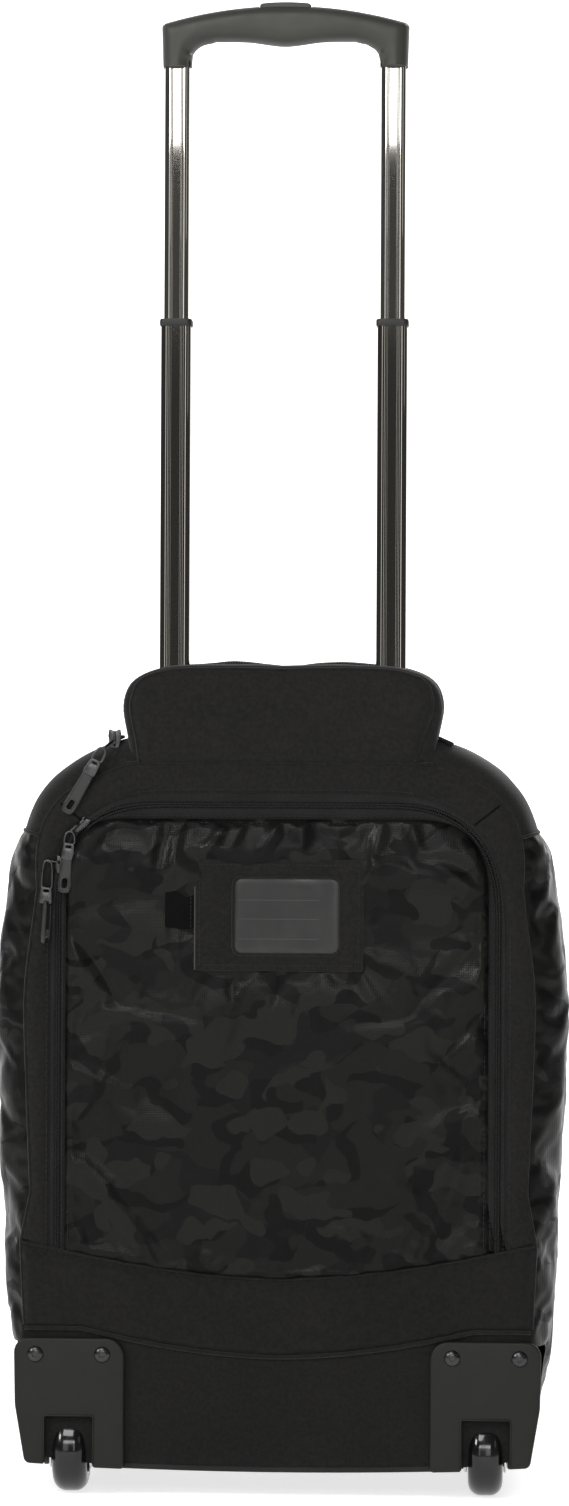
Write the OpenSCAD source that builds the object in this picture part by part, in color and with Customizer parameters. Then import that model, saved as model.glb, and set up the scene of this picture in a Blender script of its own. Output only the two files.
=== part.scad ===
// Upright wheeled soft cabin bag with a two-stage trolley handle, drawn extended.
// Frame: +Z up, -Y is the wheel and handle side, origin under the middle of the bounding box.

/* [Bag body] */
// Widest part of the bag across the sides
body_w = 340; // [300:1:400]
// Height of the flat top of the bag body above the floor
body_top_z = 467; // [440:1:520]
// Height of the underside of the bag body above the floor
body_bottom_z = 18; // [12:1:26]
// Thickness of the padded walls
wall_t = 7; // [5:0.5:9]
// How far the sides draw in towards the bottom corners
belly_drop = 9.6; // [4:0.2:14]

/* [Back pocket] */
// Half width of the padded pocket flap
flap_half_w = 123; // [110:1:128]
// Height of the top edge of the pocket flap
flap_top_z = 413; // [380:1:418]
// Half width of the zip line around the flap
zip_half_w = 134; // [130:1:138]
// Corner radius of the zip line
zip_corner_r = 40; // [25:1:50]

/* [Handle cover] */
// Half width of the humped cover over the stowed handle
cover_half_w = 96; // [90:1:100]
// Height of the top of the cover
cover_top_z = 506; // [490:1:520]

/* [Trolley handle] */
// Half of the spacing between the two tube centres
tube_half_gap = 67; // [50:0.5:80]
// Width of the uppermost tubes
inner_w = 15.4; // [12:0.1:18]
// Depth of the uppermost tubes
inner_d = 12; // [9:0.1:16]
// Wall of every tube
tube_wall = 1.2; // [0.8:0.1:1.6]
// Gap between one tube and the next on each face
tube_gap = 0.4; // [0.35:0.05:0.8]
// Overall width of the grip
grip_w = 153.5; // [140:0.5:170]
// Depth of the grip from back to front
grip_d = 25; // [20:0.5:28]

/* [Wheels] */
// Wheel radius
wheel_r = 25.5; // [20:0.5:26]
// Wheel width across the tread
wheel_w = 21.5; // [16:0.5:24]
// Distance of each wheel centre from the middle of the bag
wheel_x = 127.5; // [110:0.5:135]
// Radius of the wheel axle
axle_r = 3; // [2:0.1:4]

/* [Hidden] */
$fn = 64;

// Layers through the bag from the wheel side (-Y) to the front (+Y)
back_y = -104;
shell_y0 = -86;
shell_y1 = 72;
zip_y1 = 82;
door_y0 = 82.3;
door_y1 = 90;
front_y = 110;
sheet_t = 2.5;
base_board_t = 3;
tube_y = -69;
divider_y0 = -57;
divider_t = 3;
rear_pad_y0 = -50;
rear_pad_y1 = -34;

// Outline of the bag seen from the back
belly_z = 260;
belly_ref = 200;
shoulder_x = 60;
shoulder_z = 370;
bottom_half_w = 150;
corner_half_w = 156;
corner_z = 30;
back_inset = 10;
rim_top_z = 449.6;

// Back pocket and lower back
seam_gap = 0.4;
pocket_bottom_z = 157;
zip_top_z = 423.5;
tape_half = 5.4;
flap_y0 = -105;
flap_y1 = -98;
band_y0 = -105.8;
band_bottom_z = 99;
id_half_w = 51.5;
id_z0 = 322;
id_z1 = 390.6;
id_window_x0 = -27;
id_window_x1 = 36.2;
id_window_z0 = 333.2;
id_window_z1 = 378.4;

// Wheel housings
housing_x0 = 93.5;
housing_z0 = 19.5;
housing_z1 = 97;
housing_y0 = -108.5;
housing_y1 = -56;
housing_corner_r = 7;
axle_y = -84.5;
slot_half = 14.6;
slot_top_z = 48.6;
well_r = 28.6;
hub_r = 14;
hub_boss_r = 7;
hub_fit = 0.05;
axle_half = 21;
rivet_r = 4.4;
rivet_h = 1.5;
rivet_shank_r = 2;
rivet_len = 12;
rivet_z = 87;
rivet_dx = 20.5;

// Trolley heights
middle_w = inner_w + 2 * (tube_wall + tube_gap);
middle_d = inner_d + 2 * (tube_wall + tube_gap);
outer_w = middle_w + 2 * (tube_wall + tube_gap);
outer_d = middle_d + 2 * (tube_wall + tube_gap);
bracket_z0 = 50;
outer_z0 = 62;
outer_z1 = 452;
bezel_z0 = 448;
bezel_z1 = 460;
middle_z0 = 410;
middle_z1 = 721;
inner_z0 = 661;
inner_z1 = 890;
collar_z0 = 717;
collar_z1 = 724;
collar_lip = 1;
plug_h = 8;
spigot_h = 22;
flute_w = 1.6;
flute_depth = 0.45;
pin_r = 2.2;
pin_fit = 0.05;
pin_len = 6;
pin_sink = 0.4;

// Grip and release button
leg_half = 8;
grip_z0 = 878;
grip_top_z = 916;
grip_crown_r = 265;
grip_corner_r = 2.5;
finger_top_z = 894;
finger_corner_r = 12;
button_half_w = 16;
button_half_d = 6.5;
button_proud = 1.7;
button_gap = 0.4;
button_z0 = 905.5;
cavity_z0 = 896.5;
rod_r = 2;
rod_z0 = 680;
link_bar_h = 3;

// Seams and pads
seam_x = 95;
cover_corner_r = 20;
cover_tape_w = 6;
flap_corner_r = 30;
zip_face_y0 = -101;
zip_face_y1 = -98.5;
side_top_z = 420;
side_bottom_z = 45;

// Bracket under the outer tubes
bracket_half_w = 82;
bracket_gap_half = 52;
bracket_cup = 12;
bracket_web = 8;

// Webbing grab handle and its sewn ends
grab_y0 = 2;
grab_y1 = 32;
grab_half = 66;
grab_top_z = 497;
grab_t = 4;
grab_r = 14;
grab_clear = 50;
grab_base_t = 3;
grab_base_l = 28;

// Front feet
foot_x = 120;
foot_y = 58;
foot_r = 10;
foot_pad_h = 6;
foot_flange_r = 13;

// Identity tab
id_tab_x0 = -69.5;
id_tab_z0 = 348.5;
id_tab_z1 = 371.5;
id_tab_t = 1.4;

// Front slip pocket
slip_half_w = 136;
slip_z0 = 62;
slip_z1 = 330;
slip_r = 18;
slip_wall = 4;

// Zip sliders: width, length, and height above the tape
slider_w = 8;
slider_l = 13;
pocket_slider_t = 4;
cover_slider_t = 6;
main_slider_t = 3.4;
slider_y = -101.4;
cover_slider_z = 464;
cover_slider_y = -91;
lower_slider_z = 387;
main_zip_y = 77;
main_side_z = 372;
main_top_x = -46;

// Pulls: wire link, rubberised tab and the plain pulls of the main zip
upper_pull_y = -107.4;
lower_pull_y = -105.6;
cover_pull_y = -105.5;
cover_link = 8;
cover_tab = 37;
upper_link = 7;
upper_tab = 30;
lower_link = 16;
lower_tab = 34;
link_half = 3.6;
link_wire = 1.4;
link_t = 1.6;
tab_half = 4.25;
tab_t = 2.4;
tab_hole_half = 1.4;
tab_hole_z0 = 3;
tab_hole_z1 = 9;
main_pull_half = 3;
main_pull_l = 26;
main_pull_drop = 8;

// ---------- helpers ----------

// Box between two corners
module block(x0, x1, y0, y1, z0, z1) {
  translate([x0, y0, z0])
    cube([x1 - x0, y1 - y0, z1 - z0]);
}

// A flat shape drawn in X and Z, given thickness along Y
module slab(y0, y1) {
  translate([0, y1, 0])
    rotate([90, 0, 0])
      linear_extrude(y1 - y0)
        children();
}

// Rectangle with rounded corners between two corners
module rounded_rect(x0, x1, z0, z1, r) {
  union() {
    translate([x0 + r, z0])
      square([x1 - x0 - 2 * r, z1 - z0]);
    translate([x0, z0 + r])
      square([x1 - x0, z1 - z0 - 2 * r]);
    for (x = [x0 + r, x1 - r]) {
      for (z = [z0 + r, z1 - r]) {
        translate([x, z])
          circle(r);
      }
    }
  }
}

// Arch with rounded top corners and a square foot
module arch(half_w, z0, z1, r) {
  union() {
    translate([-half_w, z0])
      square([2 * half_w, z1 - z0 - r]);
    translate([-half_w + r, z0])
      square([2 * half_w - 2 * r, z1 - z0]);
    for (x = [-half_w + r, half_w - r]) {
      translate([x, z1 - r])
        circle(r);
    }
  }
}

function side_half_w(z) = body_w / 2 - belly_drop * pow((z - belly_z) / belly_ref, 2);
shoulder_a = side_half_w(shoulder_z) - shoulder_x;
shoulder_b = body_top_z - shoulder_z;

function outline_side(i) = concat(
  [[bottom_half_w - i, body_bottom_z + i]],
  [[corner_half_w - i, max(corner_z, body_bottom_z + i + 2)]],
  [for (z = [60:50:shoulder_z - 10]) [side_half_w(z) - i, z]],
  [for (a = [0:10:90]) [shoulder_x + (shoulder_a - i) * cos(a), shoulder_z + (shoulder_b - i) * sin(a)]]
);

// Bag outline, drawn in by i
module outline(i) {
  side = outline_side(i);
  last = len(side) - 1;
  polygon(concat(side, [for (k = [last:-1:0]) [-side[k].x, side[k].y]]));
}

// Padded wall running round the outline
module wall_ring(y0, y1, i0, i1) {
  slab(y0, y1)
    difference() {
      outline(i0);
      outline(i1);
    }
}

// Space filled by the two wheel housings
module housing_space() {
  for (side = [-1, 1]) {
    translate([side < 0 ? -body_w : housing_x0, housing_y0 - 5, 0])
      cube([body_w - housing_x0, housing_y1 - housing_y0 + 5, housing_z1]);
  }
}

// Space above the trolley channel, between the two halves of the cover
module handle_well() {
  block(-cover_half_w, cover_half_w, shell_y0 - 1, rear_pad_y0, bezel_z0, body_top_z + 5);
}

// Tube section, centred, with two flutes down each broad face
module tube_section(w, d) {
  difference() {
    rounded_rect(-w / 2, w / 2, -d / 2, d / 2, 3);
    rounded_rect(-w / 2 + tube_wall, w / 2 - tube_wall, -d / 2 + tube_wall, d / 2 - tube_wall, 2);
    for (x = [-w / 5, w / 5]) {
      for (face = [-1, 1]) {
        translate([x - flute_w / 2, face * d / 2 - flute_depth])
          square([flute_w, 2 * flute_depth]);
      }
    }
  }
}

// Something repeated at both tubes
module at_tubes() {
  for (side = [-1, 1]) {
    translate([side * tube_half_gap, tube_y, 0])
      children();
  }
}

// Solid tube shape, centred
module tube_core(w, d, z0, z1) {
  translate([0, 0, z0])
    linear_extrude(z1 - z0)
      rounded_rect(-w / 2, w / 2, -d / 2, d / 2, 3);
}

// Rod along Y between two depths
module rod_y(r, x, y0, y1, z) {
  translate([x, y1, z])
    rotate([90, 0, 0])
      cylinder(r = r, h = y1 - y0);
}

// Rod along X
module rod_x(r, x0, x1, y, z) {
  translate([x0, y, z])
    rotate([0, 90, 0])
      cylinder(r = r, h = x1 - x0);
}

// ---------- bag body ----------

// Padded rims either side of the back pocket
module back_rim_sides() {
  color([0.13, 0.13, 0.12])
    intersection() {
      slab(back_y, shell_y0)
        difference() {
          outline(back_inset);
          arch(zip_half_w + tape_half, pocket_bottom_z - 2, zip_top_z + tape_half, zip_corner_r + tape_half);
        }
      union() {
        block(-body_w, -seam_x, back_y - 1, shell_y0 + 1, pocket_bottom_z, rim_top_z);
        block(seam_x, body_w, back_y - 1, shell_y0 + 1, pocket_bottom_z, rim_top_z);
      }
    }
}

// Padded rim across the top of the back pocket
module back_rim_top() {
  color([0.13, 0.13, 0.12])
    block(-seam_x, seam_x, back_y, shell_y0, zip_top_z + tape_half, rim_top_z);
}

// Padded bumper band across the back below the pocket
module bumper_band() {
  color([0.12, 0.12, 0.11])
    intersection() {
      slab(band_y0, shell_y0)
        outline(back_inset - 4);
      block(-body_w, body_w, band_y0, shell_y0, band_bottom_z, pocket_bottom_z - seam_gap);
    }
}

// Plain panel between the two wheel housings
module lower_back_panel() {
  color([0.12, 0.12, 0.11])
    block(-housing_x0, housing_x0, back_y + 1, shell_y0, body_bottom_z + 2, band_bottom_z);
}

// Camouflage side panel, right hand
module side_panel_right() {
  color([0.2, 0.2, 0.19])
    difference() {
      intersection() {
        wall_ring(shell_y0, shell_y1, 0, wall_t);
        block(0, body_w, shell_y0, shell_y1, side_bottom_z, side_top_z);
      }
      housing_space();
    }
}

// Camouflage side panel, left hand
module side_panel_left() {
  color([0.2, 0.2, 0.19])
    mirror([1, 0, 0])
      side_panel_right();
}

// Puffy shoulders and top of the bag, with the handle well cut through
module shoulder_gusset() {
  color([0.14, 0.14, 0.13])
    difference() {
      intersection() {
        wall_ring(shell_y0, shell_y1, 0, wall_t);
        block(-body_w, body_w, shell_y0, shell_y1, side_top_z, body_top_z + 1);
      }
      handle_well();
    }
}

// Underside of the bag, turned up at the sides
module bottom_panel() {
  color([0.1, 0.1, 0.1])
    difference() {
      intersection() {
        wall_ring(shell_y0, zip_y1, 0, wall_t);
        block(-body_w, body_w, shell_y0, zip_y1, 0, side_bottom_z);
      }
      housing_space();
    }
}

// Stiff plastic sheet behind the back pocket
module frame_sheet() {
  color([0.05, 0.05, 0.05])
    difference() {
      slab(shell_y0, shell_y0 + sheet_t)
        outline(wall_t);
      housing_space();
    }
}

// Lined wall between the trolley channel and the main compartment
module divider_wall() {
  color([0.25, 0.25, 0.25])
    difference() {
      slab(divider_y0, divider_y0 + divider_t)
        outline(wall_t);
      housing_space();
    }
}

// Board lying on the bottom of the main compartment
module base_board() {
  color([0.08, 0.08, 0.08])
    intersection() {
      slab(divider_y0 + divider_t, zip_y1)
        outline(wall_t);
      block(
        -body_w,
        body_w,
        divider_y0 + divider_t,
        zip_y1,
        body_bottom_z + wall_t,
        body_bottom_z + wall_t + base_board_t
      );
    }
}

// Rear half of the humped cover
module cover_rear_pad() {
  color([0.13, 0.13, 0.12])
    slab(rear_pad_y0, rear_pad_y1)
      arch(cover_half_w, body_top_z, cover_top_z, cover_corner_r);
}

// Zip tape and coil round the back pocket
module pocket_zip() {
  color([0.08, 0.08, 0.08])
    slab(zip_face_y0, zip_face_y1)
      difference() {
        arch(zip_half_w + tape_half, pocket_bottom_z, zip_top_z + tape_half, zip_corner_r + tape_half);
        arch(zip_half_w - tape_half, pocket_bottom_z - 1, zip_top_z - tape_half, zip_corner_r - tape_half);
      }
}

// Zip tape and coil of the main compartment, recessed between body and door
module main_zip() {
  color([0.08, 0.08, 0.08])
    intersection() {
      wall_ring(shell_y1, zip_y1, 4, wall_t);
      block(-body_w, body_w, shell_y1, zip_y1, side_bottom_z, body_top_z + 1);
    }
}

// Webbing grab handle on top
module grab_handle() {
  color([0.1, 0.1, 0.1])
    slab(grab_y0, grab_y1)
      union() {
        difference() {
          rounded_rect(-grab_half, grab_half, body_top_z, grab_top_z, grab_r);
          rounded_rect(
            -grab_half + grab_t,
            grab_half - grab_t,
            body_top_z + grab_base_t,
            grab_top_z - grab_t,
            grab_r - grab_t
          );
          translate([-grab_clear, body_top_z - 1])
            square([2 * grab_clear, 2 * grab_base_t]);
        }
        for (x = [-grab_clear - grab_base_l, grab_clear]) {
          translate([x, body_top_z])
            square([grab_base_l, grab_base_t]);
        }
      }
}

// Moulded front feet
module front_feet() {
  color([0.07, 0.07, 0.07])
    for (x = [-foot_x, foot_x]) {
      translate([x, foot_y, 0])
        union() {
          cylinder(r = foot_r, h = foot_pad_h);
          translate([0, 0, foot_pad_h])
            cylinder(r = foot_flange_r, h = body_bottom_z - foot_pad_h);
        }
    }
}

// ---------- wheel housings ----------

// Moulded corner housing with its wheel well, right hand
module housing_right() {
  color([0.17, 0.18, 0.16])
    difference() {
      slab(housing_y0, housing_y1)
        intersection() {
          outline(0);
          rounded_rect(housing_x0, body_w / 2 + 5, housing_z0, housing_z1, housing_corner_r);
        }
      block(wheel_x - slot_half, wheel_x + slot_half, housing_y0 - 1, axle_y, 0, slot_top_z);
      rod_x(well_r, wheel_x - slot_half, wheel_x + slot_half, axle_y, wheel_r);
      block(wheel_x - slot_half, wheel_x + slot_half, axle_y, axle_y + well_r - 0.8, 0, wheel_r);
      rod_x(axle_r, wheel_x - axle_half, wheel_x + axle_half, axle_y, wheel_r);
      for (dx = [-rivet_dx, rivet_dx]) {
        rod_y(rivet_shank_r, wheel_x + dx, housing_y0 - 1, housing_y0 + rivet_len, rivet_z);
      }
    }
}

// Moulded corner housing, left hand
module housing_left() {
  color([0.17, 0.18, 0.16])
    mirror([1, 0, 0])
      housing_right();
}

// Domed rivets, two in each housing
module housing_rivets() {
  cap_r = (rivet_r * rivet_r + rivet_h * rivet_h) / (2 * rivet_h);
  color([0.55, 0.55, 0.55])
    for (x = [-wheel_x - rivet_dx, -wheel_x + rivet_dx, wheel_x - rivet_dx, wheel_x + rivet_dx]) {
      union() {
        rod_y(rivet_shank_r, x, housing_y0, housing_y0 + rivet_len, rivet_z);
        intersection() {
          translate([x, housing_y0 - rivet_h + cap_r, rivet_z])
            sphere(r = cap_r);
          rod_y(rivet_r, x, housing_y0 - rivet_h, housing_y0, rivet_z);
        }
      }
    }
}

// Steel axles fixed in the housing cheeks
module wheel_axles() {
  color([0.7, 0.7, 0.7])
    for (x = [-wheel_x, wheel_x]) {
      rod_x(axle_r, x - axle_half, x + axle_half, axle_y, wheel_r);
    }
}

// Tread section of one wheel, drawn as radius and width
module tread_section() {
  edge_r = 7;
  difference() {
    union() {
      translate([hub_r, -wheel_w / 2])
        square([wheel_r - hub_r - edge_r, wheel_w]);
      translate([hub_r, -wheel_w / 2 + edge_r])
        square([wheel_r - hub_r, wheel_w - 2 * edge_r]);
      for (z = [-wheel_w / 2 + edge_r, wheel_w / 2 - edge_r]) {
        translate([wheel_r - edge_r, z])
          circle(edge_r);
      }
    }
    translate([0, -wheel_w])
      square([hub_r, 2 * wheel_w]);
  }
}

// One urethane tread at a given side
module tread(x) {
  translate([x, axle_y, wheel_r])
    rotate([0, 90, 0])
      rotate_extrude()
        tread_section();
}

// One moulded hub with its bearing bosses
module hub(x) {
  difference() {
    union() {
      rod_x(hub_r, x - wheel_w / 2 + 2, x + wheel_w / 2 - 2, axle_y, wheel_r);
      rod_x(hub_boss_r, x - slot_half + 0.6, x + slot_half - 0.6, axle_y, wheel_r);
    }
    rod_x(axle_r + hub_fit, x - 20, x + 20, axle_y, wheel_r);
  }
}

// Left urethane tread
module wheel_left_tread() {
  color([0.06, 0.06, 0.06])
    tread(-wheel_x);
}

// Left hub
module wheel_left_hub() {
  color([0.3, 0.3, 0.3])
    hub(-wheel_x);
}

// Right urethane tread
module wheel_right_tread() {
  color([0.06, 0.06, 0.06])
    tread(wheel_x);
}

// Right hub
module wheel_right_hub() {
  color([0.3, 0.3, 0.3])
    hub(wheel_x);
}

// ---------- trolley handle ----------

// Fixed outer tubes inside the bag
module outer_tubes() {
  color([0.3, 0.3, 0.3])
    difference() {
      at_tubes()
        translate([0, 0, outer_z0])
          linear_extrude(outer_z1 - outer_z0)
            tube_section(outer_w, outer_d);
      for (side = [-1, 1]) {
        rod_y(pin_r + 0.4, side * tube_half_gap, tube_y - outer_d, tube_y, middle_z0 - plug_h / 2);
      }
    }
}

// Foot bracket carrying the outer tubes
module tube_bracket() {
  color([0.1, 0.1, 0.1])
    difference() {
      block(
        -bracket_half_w,
        bracket_half_w,
        shell_y0 + sheet_t,
        divider_y0,
        bracket_z0,
        outer_z0 + bracket_cup
      );
      at_tubes()
        tube_core(outer_w, outer_d, outer_z0, outer_z0 + 2 * bracket_cup);
      block(
        -bracket_gap_half,
        bracket_gap_half,
        shell_y0,
        divider_y0 + 1,
        bracket_z0 + bracket_web,
        outer_z0 + 2 * bracket_cup
      );
    }
}

// Moulded bezel round the tubes at the bottom of the handle well
module top_bezel() {
  color([0.1, 0.1, 0.1])
    difference() {
      block(-cover_half_w + 1, cover_half_w - 1, shell_y0 + sheet_t, divider_y0, bezel_z0, bezel_z1);
      at_tubes()
        union() {
          tube_core(outer_w, outer_d, bezel_z0 - 1, outer_z1);
          tube_core(middle_w + 2 * tube_gap, middle_d + 2 * tube_gap, outer_z1 - 1, bezel_z1 + 1);
        }
    }
}

// Middle tubes, first moving stage
module middle_tubes() {
  color([0.35, 0.34, 0.32])
    difference() {
      at_tubes()
        translate([0, 0, middle_z0])
          linear_extrude(middle_z1 - middle_z0)
            tube_section(middle_w, middle_d);
      for (side = [-1, 1]) {
        rod_y(pin_r + 0.4, side * tube_half_gap, tube_y - middle_d, tube_y, inner_z0 - plug_h / 2);
      }
    }
}

// Moulded collars on the tops of the middle tubes
module middle_collars() {
  color([0.12, 0.12, 0.12])
    at_tubes()
      difference() {
        tube_core(middle_w + 2 * collar_lip, middle_d + 2 * collar_lip, collar_z0, collar_z1);
        tube_core(middle_w, middle_d, collar_z0 - 1, middle_z1);
        tube_core(inner_w + 2 * tube_gap, inner_d + 2 * tube_gap, middle_z1 - 1, collar_z1 + 1);
      }
}

// One moulded end plug with its pin bore, drawn at the tube centre
module end_plug(w, d, z) {
  difference() {
    union() {
      tube_core(w, d, z - plug_h, z);
      translate([0, 0, z])
        linear_extrude(spigot_h)
          rounded_rect(-w / 2 + tube_wall, w / 2 - tube_wall, -d / 2 + tube_wall, d / 2 - tube_wall, 2);
    }
    rod_y(pin_r + pin_fit, 0, -d, -d / 2 + pin_len + 1, z - plug_h / 2);
    translate([0, 0, z + 10])
      cylinder(r = rod_r + 0.6, h = spigot_h);
  }
}

// End plugs of the middle tubes
module middle_plugs() {
  color([0.15, 0.15, 0.15])
    at_tubes()
      end_plug(middle_w, middle_d, middle_z0);
}

// Inner tubes, second moving stage
module inner_tubes() {
  color([0.4, 0.39, 0.37])
    at_tubes()
      translate([0, 0, inner_z0])
        linear_extrude(inner_z1 - inner_z0)
          tube_section(inner_w, inner_d);
}

// End plugs of the inner tubes
module inner_plugs() {
  color([0.15, 0.15, 0.15])
    at_tubes()
      end_plug(inner_w, inner_d, inner_z0);
}

// One pair of lock pins, drawn back inside the plugs
module lock_pins(d, z) {
  face = tube_y - d / 2 + pin_sink;
  for (side = [-1, 1]) {
    rod_y(pin_r, side * tube_half_gap, face, face + pin_len, z - plug_h / 2);
  }
}

// Lock pins of the middle tubes
module lower_lock_pins() {
  color([0.7, 0.7, 0.7])
    lock_pins(middle_d, middle_z0);
}

// Lock pins of the inner tubes
module upper_lock_pins() {
  color([0.7, 0.7, 0.7])
    lock_pins(inner_d, inner_z0);
}

// Grip seen from the back
module grip_shape() {
  difference() {
    intersection() {
      rounded_rect(-grip_w / 2, grip_w / 2, grip_z0, grip_top_z + 1, grip_corner_r);
      translate([0, grip_top_z - grip_crown_r])
        circle(grip_crown_r, $fn = 180);
    }
    difference() {
      rounded_rect(
        -tube_half_gap + leg_half,
        tube_half_gap - leg_half,
        grip_z0 - 30,
        finger_top_z,
        finger_corner_r
      );
      translate([0, finger_top_z + 248])
        circle(250, $fn = 180);
    }
  }
}

// Moulded grip, hollow for the tubes, the link bar and the button
module grip() {
  color([0.3, 0.31, 0.29])
    difference() {
      union() {
        slab(tube_y - grip_d / 2, tube_y + grip_d / 2)
          grip_shape();
        at_tubes()
          tube_core(2 * leg_half, grip_d, grip_z0, grip_z0 + 14);
      }
      at_tubes()
        union() {
          tube_core(inner_w, inner_d, grip_z0 - 1, inner_z1);
          translate([0, 0, inner_z1 - 1])
            cylinder(r = rod_r + 1.2, h = cavity_z0 - inner_z1 + 2);
        }
      block(-tube_half_gap - 5, tube_half_gap + 5, tube_y - 4, tube_y + 4, cavity_z0, button_z0 - 0.5);
      block(
        -button_half_w - button_gap,
        button_half_w + button_gap,
        tube_y - button_half_d - button_gap,
        tube_y + button_half_d + button_gap,
        cavity_z0,
        grip_top_z + 5
      );
    }
}

// Release button on top of the grip
module release_button() {
  color([0.2, 0.21, 0.2])
    slab(tube_y - button_half_d, tube_y + button_half_d)
      intersection() {
        rounded_rect(-button_half_w, button_half_w, button_z0, grip_top_z + button_proud, 1.5);
        translate([0, grip_top_z + button_proud - 150])
          circle(150, $fn = 180);
      }
}

// Link bar and pull rods worked by the button
module pull_rods() {
  color([0.6, 0.6, 0.6])
    union() {
      at_tubes()
        translate([0, 0, rod_z0])
          cylinder(r = rod_r, h = button_z0 - 1.5 - rod_z0);
      block(-tube_half_gap, tube_half_gap, tube_y - 2, tube_y + 2, button_z0 - link_bar_h - 1, button_z0 - 1);
      block(-8, 8, tube_y - 2, tube_y + 2, button_z0 - 1.5, button_z0);
    }
}

// ---------- back pocket flap ----------

// Padded camouflage flap of the back pocket
module pocket_flap() {
  color([0.22, 0.22, 0.21])
    slab(flap_y0, flap_y1)
      arch(flap_half_w, pocket_bottom_z + 1, flap_top_z, flap_corner_r);
}

// Folded fabric frame of the identity window
module id_frame() {
  color([0.1, 0.1, 0.1])
    slab(flap_y0 - 1.2, flap_y0)
      difference() {
        translate([-id_half_w, id_z0])
          square([2 * id_half_w, id_z1 - id_z0]);
        rounded_rect(id_window_x0, id_window_x1, id_window_z0, id_window_z1, 4);
      }
}

// Clear window with a blank card behind it
module id_window() {
  color([0.3, 0.3, 0.3])
    slab(flap_y0 - 0.8, flap_y0)
      rounded_rect(id_window_x0, id_window_x1, id_window_z0, id_window_z1, 4);
}

// Small sewn tab beside the identity window
module id_tab() {
  color([0.1, 0.1, 0.1])
    block(id_tab_x0, -id_half_w - 0.5, flap_y0 - id_tab_t, flap_y0, id_tab_z0, id_tab_z1);
}

// ---------- near half of the cover ----------

// Near half of the humped cover, hinged at its sewn base
module cover_near_pad() {
  color([0.13, 0.13, 0.12])
    slab(back_y, shell_y0)
      arch(cover_half_w, rim_top_z + seam_gap, cover_top_z - 1, cover_corner_r);
}

// Zip tape and coil on the inner edge of the cover's rear half
module cover_zip() {
  color([0.08, 0.08, 0.08])
    slab(rear_pad_y0 - 3, rear_pad_y0)
      difference() {
        arch(cover_half_w - 1, body_top_z, cover_top_z - 1, cover_corner_r - 1);
        arch(
          cover_half_w - 1 - cover_tape_w,
          body_top_z - 1,
          cover_top_z - 1 - cover_tape_w,
          cover_corner_r - 1 - cover_tape_w
        );
      }
}

// ---------- front ----------

// Padded front door of the main compartment
module front_door() {
  color([0.2, 0.2, 0.19])
    slab(door_y0, door_y1)
      outline(0);
}

// Open-topped slip pocket on the front door
module front_pocket() {
  color([0.15, 0.15, 0.14])
    difference() {
      slab(door_y1, front_y)
        rounded_rect(-slip_half_w, slip_half_w, slip_z0, slip_z1, slip_r);
      slab(door_y1 - 1, front_y - slip_wall)
        rounded_rect(
          -slip_half_w + slip_wall,
          slip_half_w - slip_wall,
          slip_z0 + slip_wall,
          slip_z1 + 2 * slip_r,
          slip_r - slip_wall
        );
    }
}

// ---------- zip sliders and pulls ----------

// Slider body of height t, long in Z, its tape side at y = 0 and its front towards -Y
module slider_body(t) {
  slab(-t, 0)
    rounded_rect(-slider_w / 2, slider_w / 2, -slider_l / 2, slider_l / 2, slider_w / 3);
}

// Wire link from the slider towards the tab, hanging down from the origin
module pull_link(l) {
  inner_half = link_half - link_wire;
  slab(-link_t, 0)
    difference() {
      rounded_rect(-link_half, link_half, -l, link_wire, link_wire);
      rounded_rect(-inner_half, inner_half, -l + link_wire, 0, 1);
    }
}

// Rubberised pull tab with a slot near its end, hanging from the end of the link
module pull_tab(l0, l) {
  foot = -l0 - l;
  slab(-tab_t, 0)
    difference() {
      rounded_rect(-tab_half, tab_half, foot, -l0, 2.5);
      rounded_rect(-tab_hole_half, tab_hole_half, foot + tab_hole_z0, foot + tab_hole_z1, 1.2);
    }
}

// Slider of the cover zip, parked at the left foot of the cover
module cover_slider() {
  color([0.3, 0.3, 0.3])
    translate([-cover_half_w - 6.2, cover_slider_y, cover_slider_z])
      slider_body(cover_slider_t);
}

// Where the cover pull hangs, leaning outwards over the shoulder
module at_cover_pull() {
  translate([-108.5, cover_pull_y, cover_slider_z - 7])
    rotate([0, 30, 0])
      children();
}

// Wire link of the cover pull
module cover_pull_link() {
  color([0.45, 0.45, 0.43])
    at_cover_pull()
      pull_link(cover_link);
}

// Rubberised tab of the cover pull
module cover_pull_tab() {
  color([0.1, 0.1, 0.1])
    at_cover_pull()
      pull_tab(cover_link, cover_tab);
}

// Upper slider of the pocket zip, on the corner arc of the zip line
module at_upper_slider() {
  translate([-zip_half_w + zip_corner_r, 0, zip_top_z - zip_corner_r])
    rotate([0, 45, 0])
      translate([-zip_corner_r, 0, 0])
        children();
}

// Upper slider of the pocket zip
module pocket_slider_upper() {
  color([0.3, 0.3, 0.3])
    at_upper_slider()
      translate([0, slider_y, 0])
        slider_body(pocket_slider_t);
}

// Where the upper pocket pull hangs
module at_upper_pull() {
  translate([-zip_half_w + 6, upper_pull_y, 406])
    rotate([0, 6, 0])
      children();
}

// Wire link of the upper pocket pull
module pocket_pull_upper_link() {
  color([0.45, 0.45, 0.43])
    at_upper_pull()
      pull_link(upper_link);
}

// Rubberised tab of the upper pocket pull
module pocket_pull_upper_tab() {
  color([0.1, 0.1, 0.1])
    at_upper_pull()
      pull_tab(upper_link, upper_tab);
}

// Lower slider of the pocket zip, on the straight side of the zip line
module pocket_slider_lower() {
  color([0.3, 0.3, 0.3])
    translate([-zip_half_w, slider_y, lower_slider_z])
      slider_body(pocket_slider_t);
}

// Where the lower pocket pull hangs
module at_lower_pull() {
  translate([-zip_half_w - 7.8, lower_pull_y, 388])
    rotate([0, 3, 0])
      children();
}

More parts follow.
